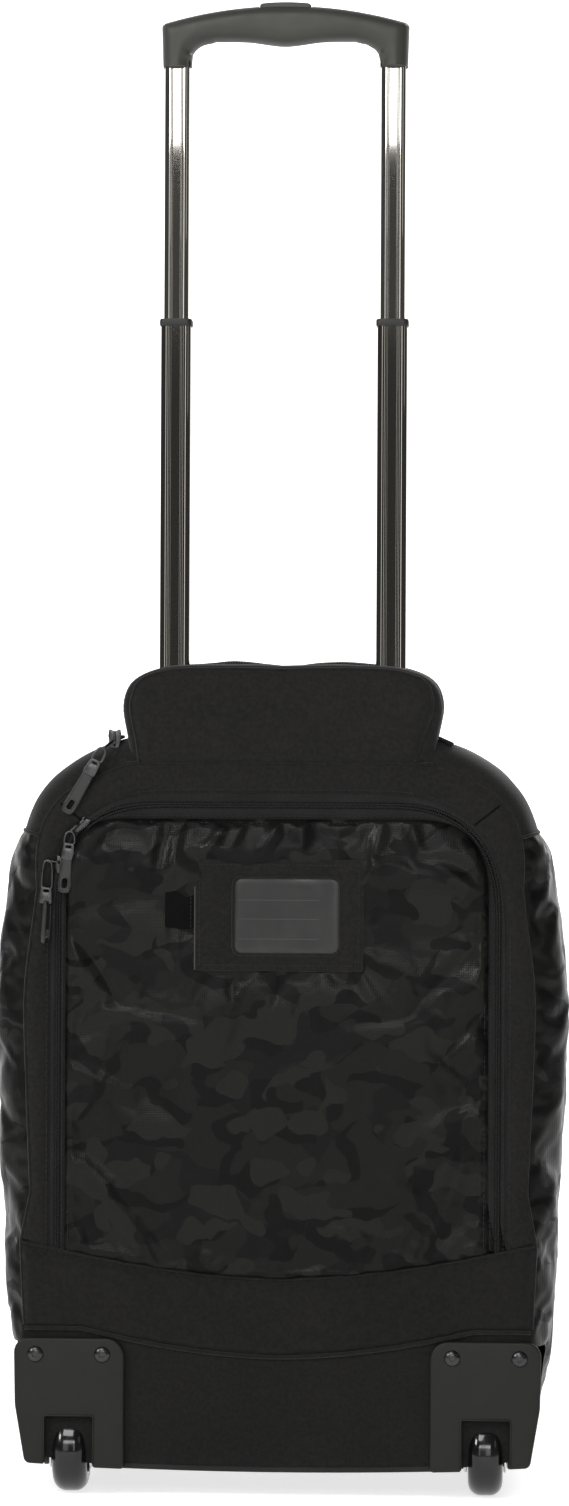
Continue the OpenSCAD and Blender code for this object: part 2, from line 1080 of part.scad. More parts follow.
// Wire link of the lower pocket pull
module pocket_pull_lower_link() {
  color([0.45, 0.45, 0.43])
    at_lower_pull()
      pull_link(lower_link);
}

// Rubberised tab of the lower pocket pull
module pocket_pull_lower_tab() {
  color([0.1, 0.1, 0.1])
    at_lower_pull()
      pull_tab(lower_link, lower_tab);
}

// Plain flat pull of the main zip, hanging below its slider
module main_pull() {
  translate([0, -0.8, -main_pull_drop])
    slab(-tab_t, 0)
      rounded_rect(-main_pull_half, main_pull_half, -main_pull_l, 0, 2);
}

// Where the side slider of the main zip rides, turned to face -X
module at_main_side() {
  translate([-(body_w / 2 - 3.5), main_zip_y, main_side_z])
    rotate([0, 0, -90])
      children();
}

// Side slider of the main compartment zip
module main_slider_side() {
  color([0.3, 0.3, 0.3])
    at_main_side()
      slider_body(main_slider_t);
}

// Pull of the side slider, hanging in the zip groove
module main_pull_side() {
  color([0.45, 0.45, 0.43])
    at_main_side()
      main_pull();
}

// Where the top slider of the main zip rides, turned to face +Z
module at_main_top() {
  translate([main_top_x, main_zip_y, body_top_z - 3.6])
    rotate([-90, 0, 0])
      rotate([0, -90, 0])
        children();
}

// Top slider of the main compartment zip
module main_slider_top() {
  color([0.3, 0.3, 0.3])
    at_main_top()
      slider_body(main_slider_t);
}

// Pull of the top slider, lying in the zip groove
module main_pull_top() {
  color([0.45, 0.45, 0.43])
    at_main_top()
      main_pull();
}

back_rim_sides();
back_rim_top();
bumper_band();
lower_back_panel();
side_panel_left();
side_panel_right();
shoulder_gusset();
bottom_panel();
frame_sheet();
divider_wall();
base_board();
cover_rear_pad();
pocket_zip();
main_zip();
grab_handle();
front_feet();
housing_left();
housing_right();
housing_rivets();
wheel_axles();
outer_tubes();
tube_bracket();
top_bezel();
wheel_left_tread();
wheel_left_hub();
wheel_right_tread();
wheel_right_hub();
middle_tubes();
middle_collars();
middle_plugs();
lower_lock_pins();
inner_tubes();
inner_plugs();
upper_lock_pins();
grip();
release_button();
pull_rods();
pocket_flap();
id_frame();
id_window();
id_tab();
cover_near_pad();
cover_zip();
front_door();
front_pocket();
cover_slider();
cover_pull_link();
cover_pull_tab();
pocket_slider_upper();
pocket_pull_upper_link();
pocket_pull_upper_tab();
pocket_slider_lower();
pocket_pull_lower_link();
pocket_pull_lower_tab();
main_slider_side();
main_pull_side();
main_slider_top();
main_pull_top();
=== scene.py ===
import bpy
import bmesh
import math
import numpy as np
from mathutils import Vector, Matrix, noise
from mathutils.bvhtree import BVHTree
from mathutils.geometry import delaunay_2d_cdt


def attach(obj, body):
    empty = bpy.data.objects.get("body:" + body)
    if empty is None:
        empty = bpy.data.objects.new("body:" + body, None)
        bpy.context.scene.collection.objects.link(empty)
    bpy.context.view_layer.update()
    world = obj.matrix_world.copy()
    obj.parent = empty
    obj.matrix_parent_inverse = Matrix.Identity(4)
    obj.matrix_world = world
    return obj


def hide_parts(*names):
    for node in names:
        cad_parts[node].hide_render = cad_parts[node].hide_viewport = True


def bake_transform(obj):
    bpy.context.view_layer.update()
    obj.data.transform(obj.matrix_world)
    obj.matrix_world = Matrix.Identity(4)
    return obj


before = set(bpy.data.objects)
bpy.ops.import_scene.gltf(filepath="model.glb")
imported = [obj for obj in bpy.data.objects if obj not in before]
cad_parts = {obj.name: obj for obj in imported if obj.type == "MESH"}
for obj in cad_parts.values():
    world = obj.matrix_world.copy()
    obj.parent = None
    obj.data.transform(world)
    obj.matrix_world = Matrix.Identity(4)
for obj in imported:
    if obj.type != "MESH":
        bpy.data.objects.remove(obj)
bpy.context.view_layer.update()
MM = 0.001

# ------------------------------------------------------------------ the bag's outline (mm)

BELLY_Z, HALF_W = 300.0, 171.0             # widest level and half width there
WAIST_DROP, TOP_DROP = 8.5, 7.0            # how much the sides draw in 200 mm below and 80 mm above it
TOP_Z, BOT_Z = 468.5, 18.0
SHOULDER_X, SHOULDER_POWER = 60.0, 5.0     # start of the rounded shoulder and how square it is
SEAM_Y = -102.6          # depth of the seam between back panel and gusset
CORNER_DEPTH = 24.0      # how far back the rounded corner reaches
FRONT_Y = 72.0           # where the gusset meets the main zip
HUMP_X = 97.0
CAMO_TOP_Z = 407.0
CAMO_LOW_Z = 46.0


SIDES = ((-1, "left"), (1, "right"))


def unit(v):
    """v held between 0 and 1."""
    return max(0.0, min(1.0, v))


def ripple(x, y, seed):
    """Smooth noise, about -1 to 1."""
    return noise.noise(Vector((x, y, seed)))


def side_w(z):
    """Half width of the bag at a height, without the shoulder rounding."""
    if z < BELLY_Z:
        return HALF_W - WAIST_DROP * ((BELLY_Z - z) / 200.0) ** 1.2
    k = min(1.0, (z - BELLY_Z) / 80.0)
    return HALF_W - TOP_DROP * k * k * (3 - 2 * k)


def resample(points, step, closed=False):
    """Points at even spacing along a polyline."""
    p = np.array(points, float)
    if closed:
        p = np.vstack([p, p[:1]])
    seg = np.linalg.norm(np.diff(p, axis=0), axis=1)
    s = np.concatenate([[0], np.cumsum(seg)])
    n = max(2, int(round(s[-1] / step)))
    t = np.linspace(0, s[-1], n + 1)
    out = np.column_stack([np.interp(t, s, p[:, k]) for k in range(p.shape[1])])
    return out[:-1] if closed else out


def smooth_curve(points, per=8):
    """Catmull-Rom curve through the points."""
    p = [np.array(q, float) for q in points]
    p = [2 * p[0] - p[1]] + p + [2 * p[-1] - p[-2]]
    out = []
    for i in range(1, len(p) - 2):
        a, b, c, d = p[i - 1], p[i], p[i + 1], p[i + 2]
        for k in range(per):
            t = k / per
            out.append(0.5 * (2 * b + (c - a) * t + (2 * a - 5 * b + 4 * c - d) * t * t
                              + (3 * b - a - 3 * c + d) * t ** 3))
    out.append(p[-2])
    return np.array(out)


def half_contour():
    """Right half of the silhouette, from the middle of the bottom to the middle of the top."""
    pts = [(x, BOT_Z) for x in np.linspace(0, 136, 30)]
    cx, cz = 136.0, CAMO_LOW_Z
    a, b = side_w(cz) - cx, cz - BOT_Z
    pts += [(cx + a * math.sin(t), cz - b * math.cos(t)) for t in np.linspace(0, math.pi / 2, 14)[1:]]
    pts += [(side_w(z), z) for z in np.linspace(cz, BELLY_Z, 80)[1:]]
    for t in np.linspace(0, math.pi / 2, 160)[1:]:
        k = math.sin(t) ** 0.5
        z = BELLY_Z + (TOP_Z - BELLY_Z) * k
        pts.append((SHOULDER_X + (side_w(z) - SHOULDER_X) * math.sqrt(max(0.0, 1 - k ** SHOULDER_POWER)), z))
    pts += [(x, TOP_Z) for x in np.linspace(SHOULDER_X, 0, 15)[1:]]
    return pts


_half = half_contour()
_loop = _half + [(-x, z) for x, z in _half[::-1][1:-1]]
CONTOUR = resample(_loop, 3.5, closed=True)
_tan = np.roll(CONTOUR, -1, axis=0) - np.roll(CONTOUR, 1, axis=0)
_tan /= np.linalg.norm(_tan, axis=1)[:, None]
NORMAL = np.column_stack([_tan[:, 1], -_tan[:, 0]])


def near_inset(x, z):
    """How far the back seam lies inside the silhouette."""
    if z < 60:
        return 9.0
    if z < 370.0:
        return 7.5 + 7.5 * unit((z - 155) / 30)
    a = math.atan2((z - 370.0) / (TOP_Z - 370.0), max(abs(x) - SHOULDER_X, 0.01) / 107.0)
    k = a / (math.pi / 2)
    return 15.5 - 4.0 * math.sin(min(k * 1.7, 1) * math.pi) + 3.0 * k * k


NEAR_INSET = np.array([near_inset(x, z) for x, z in CONTOUR])
SEAM = CONTOUR - NORMAL * NEAR_INSET[:, None]


def gusset_inset(i, y):
    """How far the gusset lies inside the silhouette at station i and depth y."""
    c = (y - SEAM_Y) / CORNER_DEPTH
    if c < 1:
        c = max(c, 0.0)
        return NEAR_INSET[i] * (1 - math.sqrt(max(0.0, 1 - (1 - c) ** 2)))
    if y > 40:
        return 3.5 * ((y - 40) / (FRONT_Y - 40)) ** 2
    return 0.0


GUSSET_Y = [SEAM_Y + CORNER_DEPTH * (1 - math.cos(t)) for t in np.linspace(0, math.pi / 2, 9)]
GUSSET_Y += list(np.linspace(SEAM_Y + CORNER_DEPTH, FRONT_Y, 42)[1:])

# ------------------------------------------------------------------ mesh helpers


def mesh_obj(name, verts, faces, material, smooth=True):
    """A mesh object from points in millimetres."""
    me = bpy.data.meshes.new(name)
    me.from_pydata([tuple(c * MM for c in v) for v in verts], [], faces)
    me.validate()
    ob = add_object(name, me)
    me.materials.append(material)
    for p in me.polygons:
        p.use_smooth = smooth
    return ob


def add_object(name, mesh):
    ob = bpy.data.objects.new(name, mesh)
    bpy.context.scene.collection.objects.link(ob)
    return ob


def from_bmesh(name, bm):
    """An object made from a bmesh, which is used up."""
    mesh = bpy.data.meshes.new(name)
    bm.to_mesh(mesh)
    bm.free()
    return add_object(name, mesh)


def bake(ob):
    """Apply every modifier."""
    dg = bpy.context.evaluated_depsgraph_get()
    dg.update()
    me = bpy.data.meshes.new_from_object(ob.evaluated_get(dg))
    ob.modifiers.clear()
    ob.data = me
    return ob


def modify(ob, kind, **settings):
    m = ob.modifiers.new(kind.lower(), kind)
    for k, v in settings.items():
        setattr(m, k, v)
    return m


def subdivide(ob):
    modify(ob, "SUBSURF", levels=1, render_levels=1)
    return bake(ob)


def grid_mesh(name, rows, material, close_u=False, keep=None):
    """A lofted surface from rows of points."""
    m, n = len(rows), len(rows[0])
    verts = [tuple(p) for r in rows for p in r]
    faces = []
    for i in range(m if close_u else m - 1):
        for j in range(n - 1):
            a, b = i * n + j, ((i + 1) % m) * n + j
            if keep is None or keep(i, j):
                faces.append((a, b, b + 1, a + 1))
    ob = mesh_obj(name, verts, faces, material)
    clean(ob)
    return ob


def clean(ob, dist=0.00001):
    """Weld doubles, drop loose points and make the normals agree."""
    bm = bmesh.new()
    bm.from_mesh(ob.data)
    bmesh.ops.remove_doubles(bm, verts=bm.verts, dist=dist)
    loose = [v for v in bm.verts if not v.link_faces]
    bmesh.ops.delete(bm, geom=loose, context="VERTS")
    bmesh.ops.recalc_face_normals(bm, faces=bm.faces)
    bm.to_mesh(ob.data)
    bm.free()


def flip_towards(ob, direction):
    """Turn the whole surface so most of it faces direction."""
    d = Vector(direction)
    if sum((p.normal.dot(d)) * p.area for p in ob.data.polygons) < 0:
        ob.data.flip_normals()


def inside(px, pz, poly):
    """Even-odd test of points in a closed polygon."""
    x0, z0 = poly[:, 0], poly[:, 1]
    x1, z1 = np.roll(x0, -1), np.roll(z0, -1)
    hit = np.zeros(len(px), bool)
    for a, b, c, d in zip(x0, z0, x1, z1):
        if b == d:
            continue
        hit ^= ((b > pz) != (d > pz)) & (px < (c - a) * (pz - b) / (d - b) + a)
    return hit


def border_distance(p, loops):
    """Distance from each point to the nearest loop."""
    best = np.full(len(p), 1e9)
    for loop in loops:
        a = np.array(loop)
        b = np.roll(a, -1, axis=0)
        for q, r in zip(a, b):
            e = r - q
            t = np.clip(((p - q) @ e) / max(e @ e, 1e-9), 0, 1)
            d = np.linalg.norm(p - (q + t[:, None] * e), axis=1)
            best = np.minimum(best, d)
    return best


def in_region(p, loops):
    """Which points lie inside the first loop and outside the others."""
    ok = inside(p[:, 0], p[:, 1], loops[0])
    for hole in loops[1:]:
        ok &= ~inside(p[:, 0], p[:, 1], hole)
    return ok


def loops_and_edges(outer, holes, spacing):
    """Evenly spaced loops, their points in one list and the edges between them."""
    loops = [resample(q, spacing, closed=True) for q in [outer] + list(holes)]
    pts, edges = [], []
    for loop in loops:
        k = len(pts)
        pts += [tuple(q) for q in loop]
        edges += [(k + i, k + (i + 1) % len(loop)) for i in range(len(loop))]
    return loops, pts, edges


def triangulate(pts, edges, loops, epsilon):
    out = delaunay_2d_cdt([Vector(q) for q in pts], edges, [], 1, epsilon)
    verts = np.array([tuple(v) for v in out[0]])
    tris = np.array([f for f in out[2] if len(f) == 3])
    return verts, tris[in_region(verts[tris].mean(axis=1), loops)]


def flat_triangles(outer, holes, spacing, rings=()):
    """Triangulated plane region: points, triangles and each point's distance to the border."""
    loops, pts, edges = loops_and_edges(outer, holes, spacing * 0.7)
    for r in rings:
        for loop in loops:
            t = np.roll(loop, -1, axis=0) - np.roll(loop, 1, axis=0)
            t /= np.maximum(np.linalg.norm(t, axis=1), 1e-9)[:, None]
            for sgn in (-1, 1):
                q = loop + sgn * r * np.column_stack([t[:, 1], -t[:, 0]])
                ok = inside(q[:, 0], q[:, 1], loops[0])
                q = q[ok]
                pts += [tuple(v) for v in q[border_distance(q, loops) > r * 0.97]]
    lo, hi = loops[0].min(axis=0), loops[0].max(axis=0)
    gx, gz = [], []
    z, row = lo[1] + spacing / 2, 0
    while z < hi[1]:
        for x in np.arange(lo[0] + (spacing / 2 if row % 2 else 0), hi[0], spacing):
            gx.append(x)
            gz.append(z)
        z += spacing * 0.866
        row += 1
    g = np.column_stack([gx, gz])
    g = g[in_region(g, loops)]
    g = g[border_distance(g, loops) > (max(rings) if len(rings) else 0) + spacing * 0.45]
    pts += [tuple(q) for q in g]
    verts, tris = triangulate(pts, edges, loops, 1e-4)
    return verts, [tuple(int(i) for i in t) for t in tris], border_distance(verts, loops)


def rolled(d, r):
    """Rounded rise from a seam, 0 at the border to 1 beyond r."""
    t = np.clip(d / r, 0, 1)
    return np.sqrt(np.clip(1 - (1 - t) ** 2, 0, 1))


def fabric_panel(name, outer, holes, spacing, y_seam, puff, radius, material, extra=None, subdiv=False):
    """A sewn panel facing -Y: sunk at its seams and padded between them."""
    v, tris, d = flat_triangles(outer, holes, spacing)
    y = y_seam - puff * rolled(d, radius)
    if extra is not None:
        y = y + np.array([extra(a, b, c) for (a, b), c in zip(v, d)])
    ob = mesh_obj(name, [(a, c, b) for (a, b), c in zip(v, y)], tris, material)
    flip_towards(ob, (0, -1, 0))
    if subdiv:
        subdivide(ob)
    return ob


def plate(name, outer, holes, y0, y1, material, bevel=0.0, spacing=4.0, segments=2):
    """A flat plate in X and Z between two depths, with rounded edges."""
    loops, pts, edges = loops_and_edges(outer, holes, spacing)
    v, tris = triangulate(pts, edges, loops, 1e-5)
    bm = bmesh.new()
    bv = [bm.verts.new((a * MM, y0 * MM, b * MM)) for a, b in v]
    for t in tris:
        bm.faces.new([bv[i] for i in t])
    bmesh.ops.dissolve_limit(bm, angle_limit=0.01, verts=bm.verts, edges=bm.edges)
    ext = bmesh.ops.extrude_face_region(bm, geom=bm.faces[:])
    moved = [g for g in ext["geom"] if isinstance(g, bmesh.types.BMVert)]
    bmesh.ops.translate(bm, verts=moved, vec=(0, (y1 - y0) * MM, 0))
    bmesh.ops.recalc_face_normals(bm, faces=bm.faces)
    if bevel:
        rim = [e for e in bm.edges if len(e.link_faces) == 2 and e.calc_face_angle(0) > 0.9]
        bmesh.ops.bevel(bm, geom=rim, offset=bevel * MM, segments=segments, profile=0.5, affect="EDGES")
    ob = from_bmesh(name, bm)
    ob.data.materials.append(material)
    smooth_by_angle(ob)
    return ob


def smooth_by_angle(ob, degrees=35):
    """Smooth shading, broken at edges sharper than the angle."""
    for p in ob.data.polygons:
        p.use_smooth = True
    lim = math.radians(degrees)
    bm = bmesh.new()
    bm.from_mesh(ob.data)
    for e in bm.edges:
        e.smooth = not (len(e.link_faces) == 2 and e.calc_face_angle(0) > lim)
    bm.to_mesh(ob.data)
    bm.free()


def rounded(x0, x1, z0, z1, r, n=6):
    """Rounded rectangle outline."""
    out = []
    for cx, cz, a0 in ((x1 - r, z1 - r, 0), (x0 + r, z1 - r, 90), (x0 + r, z0 + r, 180),
                       (x1 - r, z0 + r, 270)):
        for k in range(n + 1):
            a = math.radians(a0 + 90 * k / n)
            out.append((cx + r * math.cos(a), cz + r * math.sin(a)))
    return out


def sweep(name, path, radius, material, closed=False, sides=8, flat=1.0, up=(0, 1, 0)):
    """A round or flattened cord along a 3-D path, in millimetres."""
    p = np.array(path, float)
    n = len(p)
    if closed:
        t = np.roll(p, -1, axis=0) - np.roll(p, 1, axis=0)
    else:
        t = np.gradient(p, axis=0)
    t /= np.linalg.norm(t, axis=1)[:, None]
    rows = []
    u = np.array(up, float)
    for q, d in zip(p, t):
        side = np.cross(d, u)
        if np.linalg.norm(side) < 1e-6:
            side = np.cross(d, (1.0, 0.2, 0.1))
        side /= np.linalg.norm(side)
        lift = np.cross(side, d)
        ring = []
        for k in range(sides):
            a = 2 * math.pi * k / sides
            ring.append(q + radius * (math.cos(a) * side + flat * math.sin(a) * lift))
        rows.append(ring)
    verts = [tuple(v) for r in rows for v in r]
    faces = []
    for i in range(n if closed else n - 1):
        for k in range(sides):
            a, b = i * sides + k, ((i + 1) % n) * sides + k
            c, d = ((i + 1) % n) * sides + (k + 1) % sides, i * sides + (k + 1) % sides
            faces.append((a, d, c, b))
    if not closed:
        faces.append(tuple(range(sides)))
        faces.append(tuple((n - 1) * sides + k for k in range(sides - 1, -1, -1)))
    ob = mesh_obj(name, verts, faces, material)
    clean(ob)
    return ob


def along(path, pitch, start=0.0):
    """Points and directions at even spacing along a path."""
    p = np.array(path, float)
    seg = np.linalg.norm(np.diff(p, axis=0), axis=1)
    s = np.concatenate([[0], np.cumsum(seg)])
    t = np.arange(start, s[-1], pitch)
    q = np.column_stack([np.interp(t, s, p[:, k]) for k in range(3)])
    q2 = np.column_stack([np.interp(np.minimum(t + 0.2, s[-1]), s, p[:, k]) for k in range(3)])
    d = q2 - q
    d /= np.maximum(np.linalg.norm(d, axis=1), 1e-9)[:, None]
    return q, d


SQUARE = ((-1, -1), (1, -1), (1, 1), (-1, 1))


def block_faces(k, rings):
    """Faces of a closed block of square rings whose first point is k."""
    faces = []
    for r in range(0, 4 * (rings - 1), 4):
        for i in range(4):
            j = (i + 1) % 4
            faces.append((k + r + i, k + r + j, k + r + 4 + j, k + r + 4 + i))
    last = k + 4 * (rings - 1)
    faces.append((last, last + 1, last + 2, last + 3))
    faces.append((k + 3, k + 2, k + 1, k))
    return faces


def studs(name, path, pitch, length, width, height, material, up=(0, -1, 0), turn=0.0, start=0.0):
    """A row of small rounded blocks along a path, as teeth or stitches."""
    q, d = along(path, pitch, start)
    up = np.array(up, float)
    verts, faces = [], []
    ca, sa = math.cos(turn), math.sin(turn)
    for p, t in zip(q, d):
        s = np.cross(t, up)
        if np.linalg.norm(s) < 1e-6:
            continue
        s /= np.linalg.norm(s)
        n = np.cross(s, t)
        t2, s2 = ca * t + sa * s, -sa * t + ca * s
        k = len(verts)
        for lift, f in ((0.0, 1.0), (0.7, 0.9), (1.0, 0.5)):
            for a, b in SQUARE:
                verts.append(tuple(p + t2 * a * f * length / 2 + s2 * b * f * width / 2 + n * lift * height))
        faces += block_faces(k, 3)
    return mesh_obj(name, verts, faces, material)


def ribbon(name, left, right, material, lift=None):
    """A band between two 3-D edges, with optional rise across it."""
    rows = []
    for a, b in zip(np.array(left, float), np.array(right, float)):
        row = []
        for k in range(7):
            t = k / 6
            p = a + (b - a) * t
            if lift is not None:
                p = p + np.array(lift) * math.sin(math.pi * t)
            row.append(p)
        rows.append(row)
    return grid_mesh(name, rows, material)


def lathe(name, profile, centre, material, steps=72):
    """A turned piece about an X axis: profile is (x, radius)."""
    rows = []
    for k in range(steps):
        a = 2 * math.pi * k / steps
        rows.append([(centre[0] + x, centre[1] + r * math.cos(a), centre[2] + r * math.sin(a))
                     for x, r in profile])
    ob = grid_mesh(name, rows, material, close_u=True)
    smooth_by_angle(ob, 40)
    return ob


def join(name, parts):
    """Join objects into one."""
    bm = bmesh.new()
    mats = []
    for ob in parts:
        remap = []
        for m in ob.data.materials:
            if m not in mats:
                mats.append(m)
            remap.append(mats.index(m))
        k = len(bm.faces)
        tmp = ob.data.copy()
        tmp.transform(ob.matrix_world)
        bm.from_mesh(tmp)
        bm.faces.ensure_lookup_table()
        for f in bm.faces[k:]:
            f.material_index = remap[f.material_index] if remap else 0
        bpy.data.objects.remove(ob)
    out = from_bmesh(name, bm)
    for m in mats:
        out.data.materials.append(m)
    return out


def place(ob, at, turn_y=0.0, turn_x=0.0, turn_z=0.0):
    """Move a piece drawn at the origin (mm) to its place."""
    m = (Matrix.Translation(Vector(at) * MM) @ Matrix.Rotation(turn_z, 4, "Z")
         @ Matrix.Rotation(turn_y, 4, "Y") @ Matrix.Rotation(turn_x, 4, "X"))
    ob.data.transform(m)
    return ob


def cloth(ob, pins, frames, pressure, expand, cap, stiffness=12.0, bending=0.3, damping=6.0):
    """Let fabric settle: pinned edges, a little spare cloth, slight pressure; moves are capped."""
    rest = np.array([v.co[:] for v in ob.data.vertices])
    group = ob.vertex_groups.new(name="pin")
    for i, w in enumerate(pins):
        if w > 0:
            group.add([i], float(w), "REPLACE")
    m = ob.modifiers.new("cloth", "CLOTH")
    st = m.settings
    st.quality = 6
    st.mass = 0.08
    st.air_damping = 3.0
    st.tension_stiffness = st.compression_stiffness = stiffness
    st.shear_stiffness = stiffness * 0.4
    st.bending_stiffness = bending
    st.tension_damping = st.compression_damping = damping
    st.vertex_group_mass = "pin"
    st.pin_stiffness = 5.0
    st.shrink_min = -expand
    st.use_pressure = True
    st.uniform_pressure_force = pressure
    st.effector_weights.gravity = 0
    m.collision_settings.use_collision = False
    m.collision_settings.use_self_collision = False
    m.point_cache.frame_start, m.point_cache.frame_end = 1, frames
    scene = bpy.context.scene
    for f in range(1, frames + 1):
        scene.frame_set(f)
    dg = bpy.context.evaluated_depsgraph_get()
    e = ob.evaluated_get(dg)
    now = np.array([v.co[:] for v in e.data.vertices])
    move = now - rest
    size = np.linalg.norm(move, axis=1)
    lim = cap * MM
    scale = np.where(size > 1e-9, lim * np.tanh(size / lim) / np.maximum(size, 1e-9), 0)
    final = rest + move * scale[:, None]
    ob.modifiers.clear()
    ob.vertex_groups.clear()
    for v, c in zip(ob.data.vertices, final):
        v.co = c
    scene.frame_set(1)


# ------------------------------------------------------------------ materials


def sock(tree, node, name, value):
    s = node.inputs[name]
    if isinstance(value, bpy.types.NodeSocket):
        tree.links.new(value, s)
    else:
        s.default_value = value


def add(tree, kind, props=None, **ins):
    """A node with its settings and inputs; input names use _ for spaces."""
    n = tree.nodes.new(kind)
    for k, v in (props or {}).items():
        setattr(n, k, v)
    for k, v in ins.items():
        sock(tree, n, int(k[1:]) if k[0] == "i" and k[1:].isdigit() else k.replace("_", " "), v)
    return n


def principled(name, rough=0.6, metal=0.0, spec=0.5, sheen=0.0, sheen_rough=0.4, coat=0.0, coat_rough=0.1):
    m = bpy.data.materials.new(name)
    m.use_nodes = True
    t = m.node_tree
    b = t.nodes["Principled BSDF"]
    b.inputs["Roughness"].default_value = rough
    b.inputs["Metallic"].default_value = metal
    b.inputs["Specular IOR Level"].default_value = spec
    b.inputs["Sheen Weight"].default_value = sheen
    b.inputs["Sheen Roughness"].default_value = sheen_rough
    b.inputs["Coat Weight"].default_value = coat
    b.inputs["Coat Roughness"].default_value = coat_rough
    coord = add(t, "ShaderNodeTexCoord").outputs["Object"]
    return m, t, b, coord


def grey(v, tint=(1.0, 1.0, 1.0)):
    return (v * tint[0], v * tint[1], v * tint[2], 1.0)


def tex_noise(t, vec, scale, detail=2.0, rough=0.5, distort=0.0):
    return add(t, "ShaderNodeTexNoise", None, Vector=vec, Scale=scale, Detail=detail, Roughness=rough,
               Distortion=distort).outputs["Fac"]


def scaled(t, vec, sx, sy, sz, turn=0.0):
    return add(t, "ShaderNodeMapping", None, Vector=vec, Scale=(sx, sy, sz),
               Rotation=(0.0, turn, 0.0)).outputs["Vector"]


def ramp(t, fac, stops):
    n = add(t, "ShaderNodeValToRGB", None, Fac=fac)
    r = n.color_ramp
    while len(r.elements) < len(stops):
        r.elements.new(0.5)
    for e, (p, c) in zip(r.elements, stops):
        e.position = p
        e.color = c
    return n.outputs["Color"]


def maths(t, op, a, b=0.5):
    return add(t, "ShaderNodeMath", {"operation": op}, i0=a, i1=b).outputs[0]


def mix(t, fac, a, b):
    n = t.nodes.new("ShaderNodeMix")
    n.data_type = "RGBA"
    for k, v in ((0, fac), (6, a), (7, b)):
        if isinstance(v, bpy.types.NodeSocket):
            t.links.new(v, n.inputs[k])
        else:
            n.inputs[k].default_value = v
    return n.outputs[2]


def bump(t, b, height, strength, distance, under=None):
    n = add(t, "ShaderNodeBump", None, Height=height, Strength=strength, Distance=distance)
    if under is not None:
        t.links.new(under, n.inputs["Normal"])
    t.links.new(n.outputs["Normal"], b.inputs["Normal"])
    return n.outputs["Normal"]


def weave_height(t, coord, pitch):
    """Crossed threads about pitch metres apart, on any face."""
    waves = [add(t, "ShaderNodeTexWave", {"wave_type": "BANDS", "bands_direction": axis}, Vector=coord,
                 Scale=1.0 / (pitch * 6.283), Distortion=1.2, Detail=1.0, Detail_Scale=2.0).outputs["Fac"]
             for axis in "XZY"]
    return maths(t, "ADD", maths(t, "ADD", waves[0], waves[1]), waves[2])


def neoprene(name, base=0.0062, tint=(1.05, 1.0, 0.93)):
    m, t, b, co = principled(name, rough=0.8, spec=0.12, sheen=0.12, sheen_rough=0.5)
    cloud = tex_noise(t, co, 14.0, 4.0, 0.6)
    fine = tex_noise(t, co, 420.0, 3.0, 0.6)
    c1 = ramp(t, cloud, [(0.3, grey(base * 0.7, tint)), (0.7, grey(base * 1.35, tint))])
    c2 = ramp(t, fine, [(0.35, grey(base * 0.45, tint)), (0.65, grey(base * 2.6, tint))])
    t.links.new(mix(t, 0.35, c1, c2), b.inputs["Base Color"])
    knit = weave_height(t, co, 0.0011)
    pill = tex_noise(t, co, 1300.0, 2.0, 0.7)
    n = bump(t, b, knit, 0.18, 0.0002)
    bump(t, b, pill, 0.25, 0.00025, n)
    return m


def camo(name):
    """Tone-on-tone woven camouflage with a satin face."""
    m, t, b, co = principled(name, spec=0.12)
    darkest, dark, mid, light = (0.0006, 0.50), (0.0023, 0.40), (0.0049, 0.34), (0.0083, 0.31)
    warp = add(t, "ShaderNodeTexNoise", None, Vector=co, Scale=55.0, Detail=1.0).outputs["Color"]
    vm = add(t, "ShaderNodeVectorMath", {"operation": "MULTIPLY_ADD"})
    t.links.new(warp, vm.inputs[0])
    vm.inputs[1].default_value = (0.012, 0.012, 0.012)
    t.links.new(co, vm.inputs[2])
    colour, rough = grey(dark[0]), grey(dark[1])
    for scale, cut, tone, shift, slip in ((30.0, 0.47, mid, 3.1, 0.0), (40.0, 0.53, darkest, 11.7, 0.006),
                                          (40.0, 0.56, light, 11.7, 0.0), (36.0, 0.57, darkest, 23.9, 0.005),
                                          (36.0, 0.60, mid, 23.9, 0.0), (50.0, 0.64, light, 37.3, 0.0)):
        mp = add(t, "ShaderNodeMapping", None, Vector=vm.outputs[0], Scale=(0.85, 0.85, 1.15),
                 Location=(shift + slip, shift, shift + slip))
        f = tex_noise(t, mp.outputs["Vector"], scale, 0.6, 0.4, 0.15)
        edge = ramp(t, f, [(cut - 0.004, grey(0.0)), (cut + 0.004, grey(1.0))])
        colour = mix(t, edge, colour, grey(tone[0], (1.02, 1.01, 0.9)))
        rough = mix(t, edge, rough, grey(tone[1]))
    dust = tex_noise(t, co, 900.0, 2.0, 0.6)
    colour = mix(t, maths(t, "MULTIPLY", dust, 0.05), colour, grey(0.02))
    t.links.new(colour, b.inputs["Base Color"])
    t.links.new(rough, b.inputs["Roughness"])
    thread = weave_height(t, co, 0.0007)
    crease = tex_noise(t, scaled(t, co, 1.0, 1.0, 0.6), 60.0, 3.0, 0.6, 0.4)
    n = bump(t, b, thread, 0.22, 0.00012)
    bump(t, b, crease, 0.16, 0.0016, n)
    return m


def woven(name, base, pitch=0.0012, rough=0.85, spec=0.15, sheen=0.1):
    m, t, b, co = principled(name, rough=rough, spec=spec, sheen=sheen)
    cloud = tex_noise(t, co, 30.0, 3.0)
    t.links.new(ramp(t, cloud, [(0.3, grey(base * 0.75)), (0.7, grey(base * 1.3))]), b.inputs["Base Color"])
    bump(t, b, weave_height(t, co, pitch), 0.35, 0.00025)
    return m


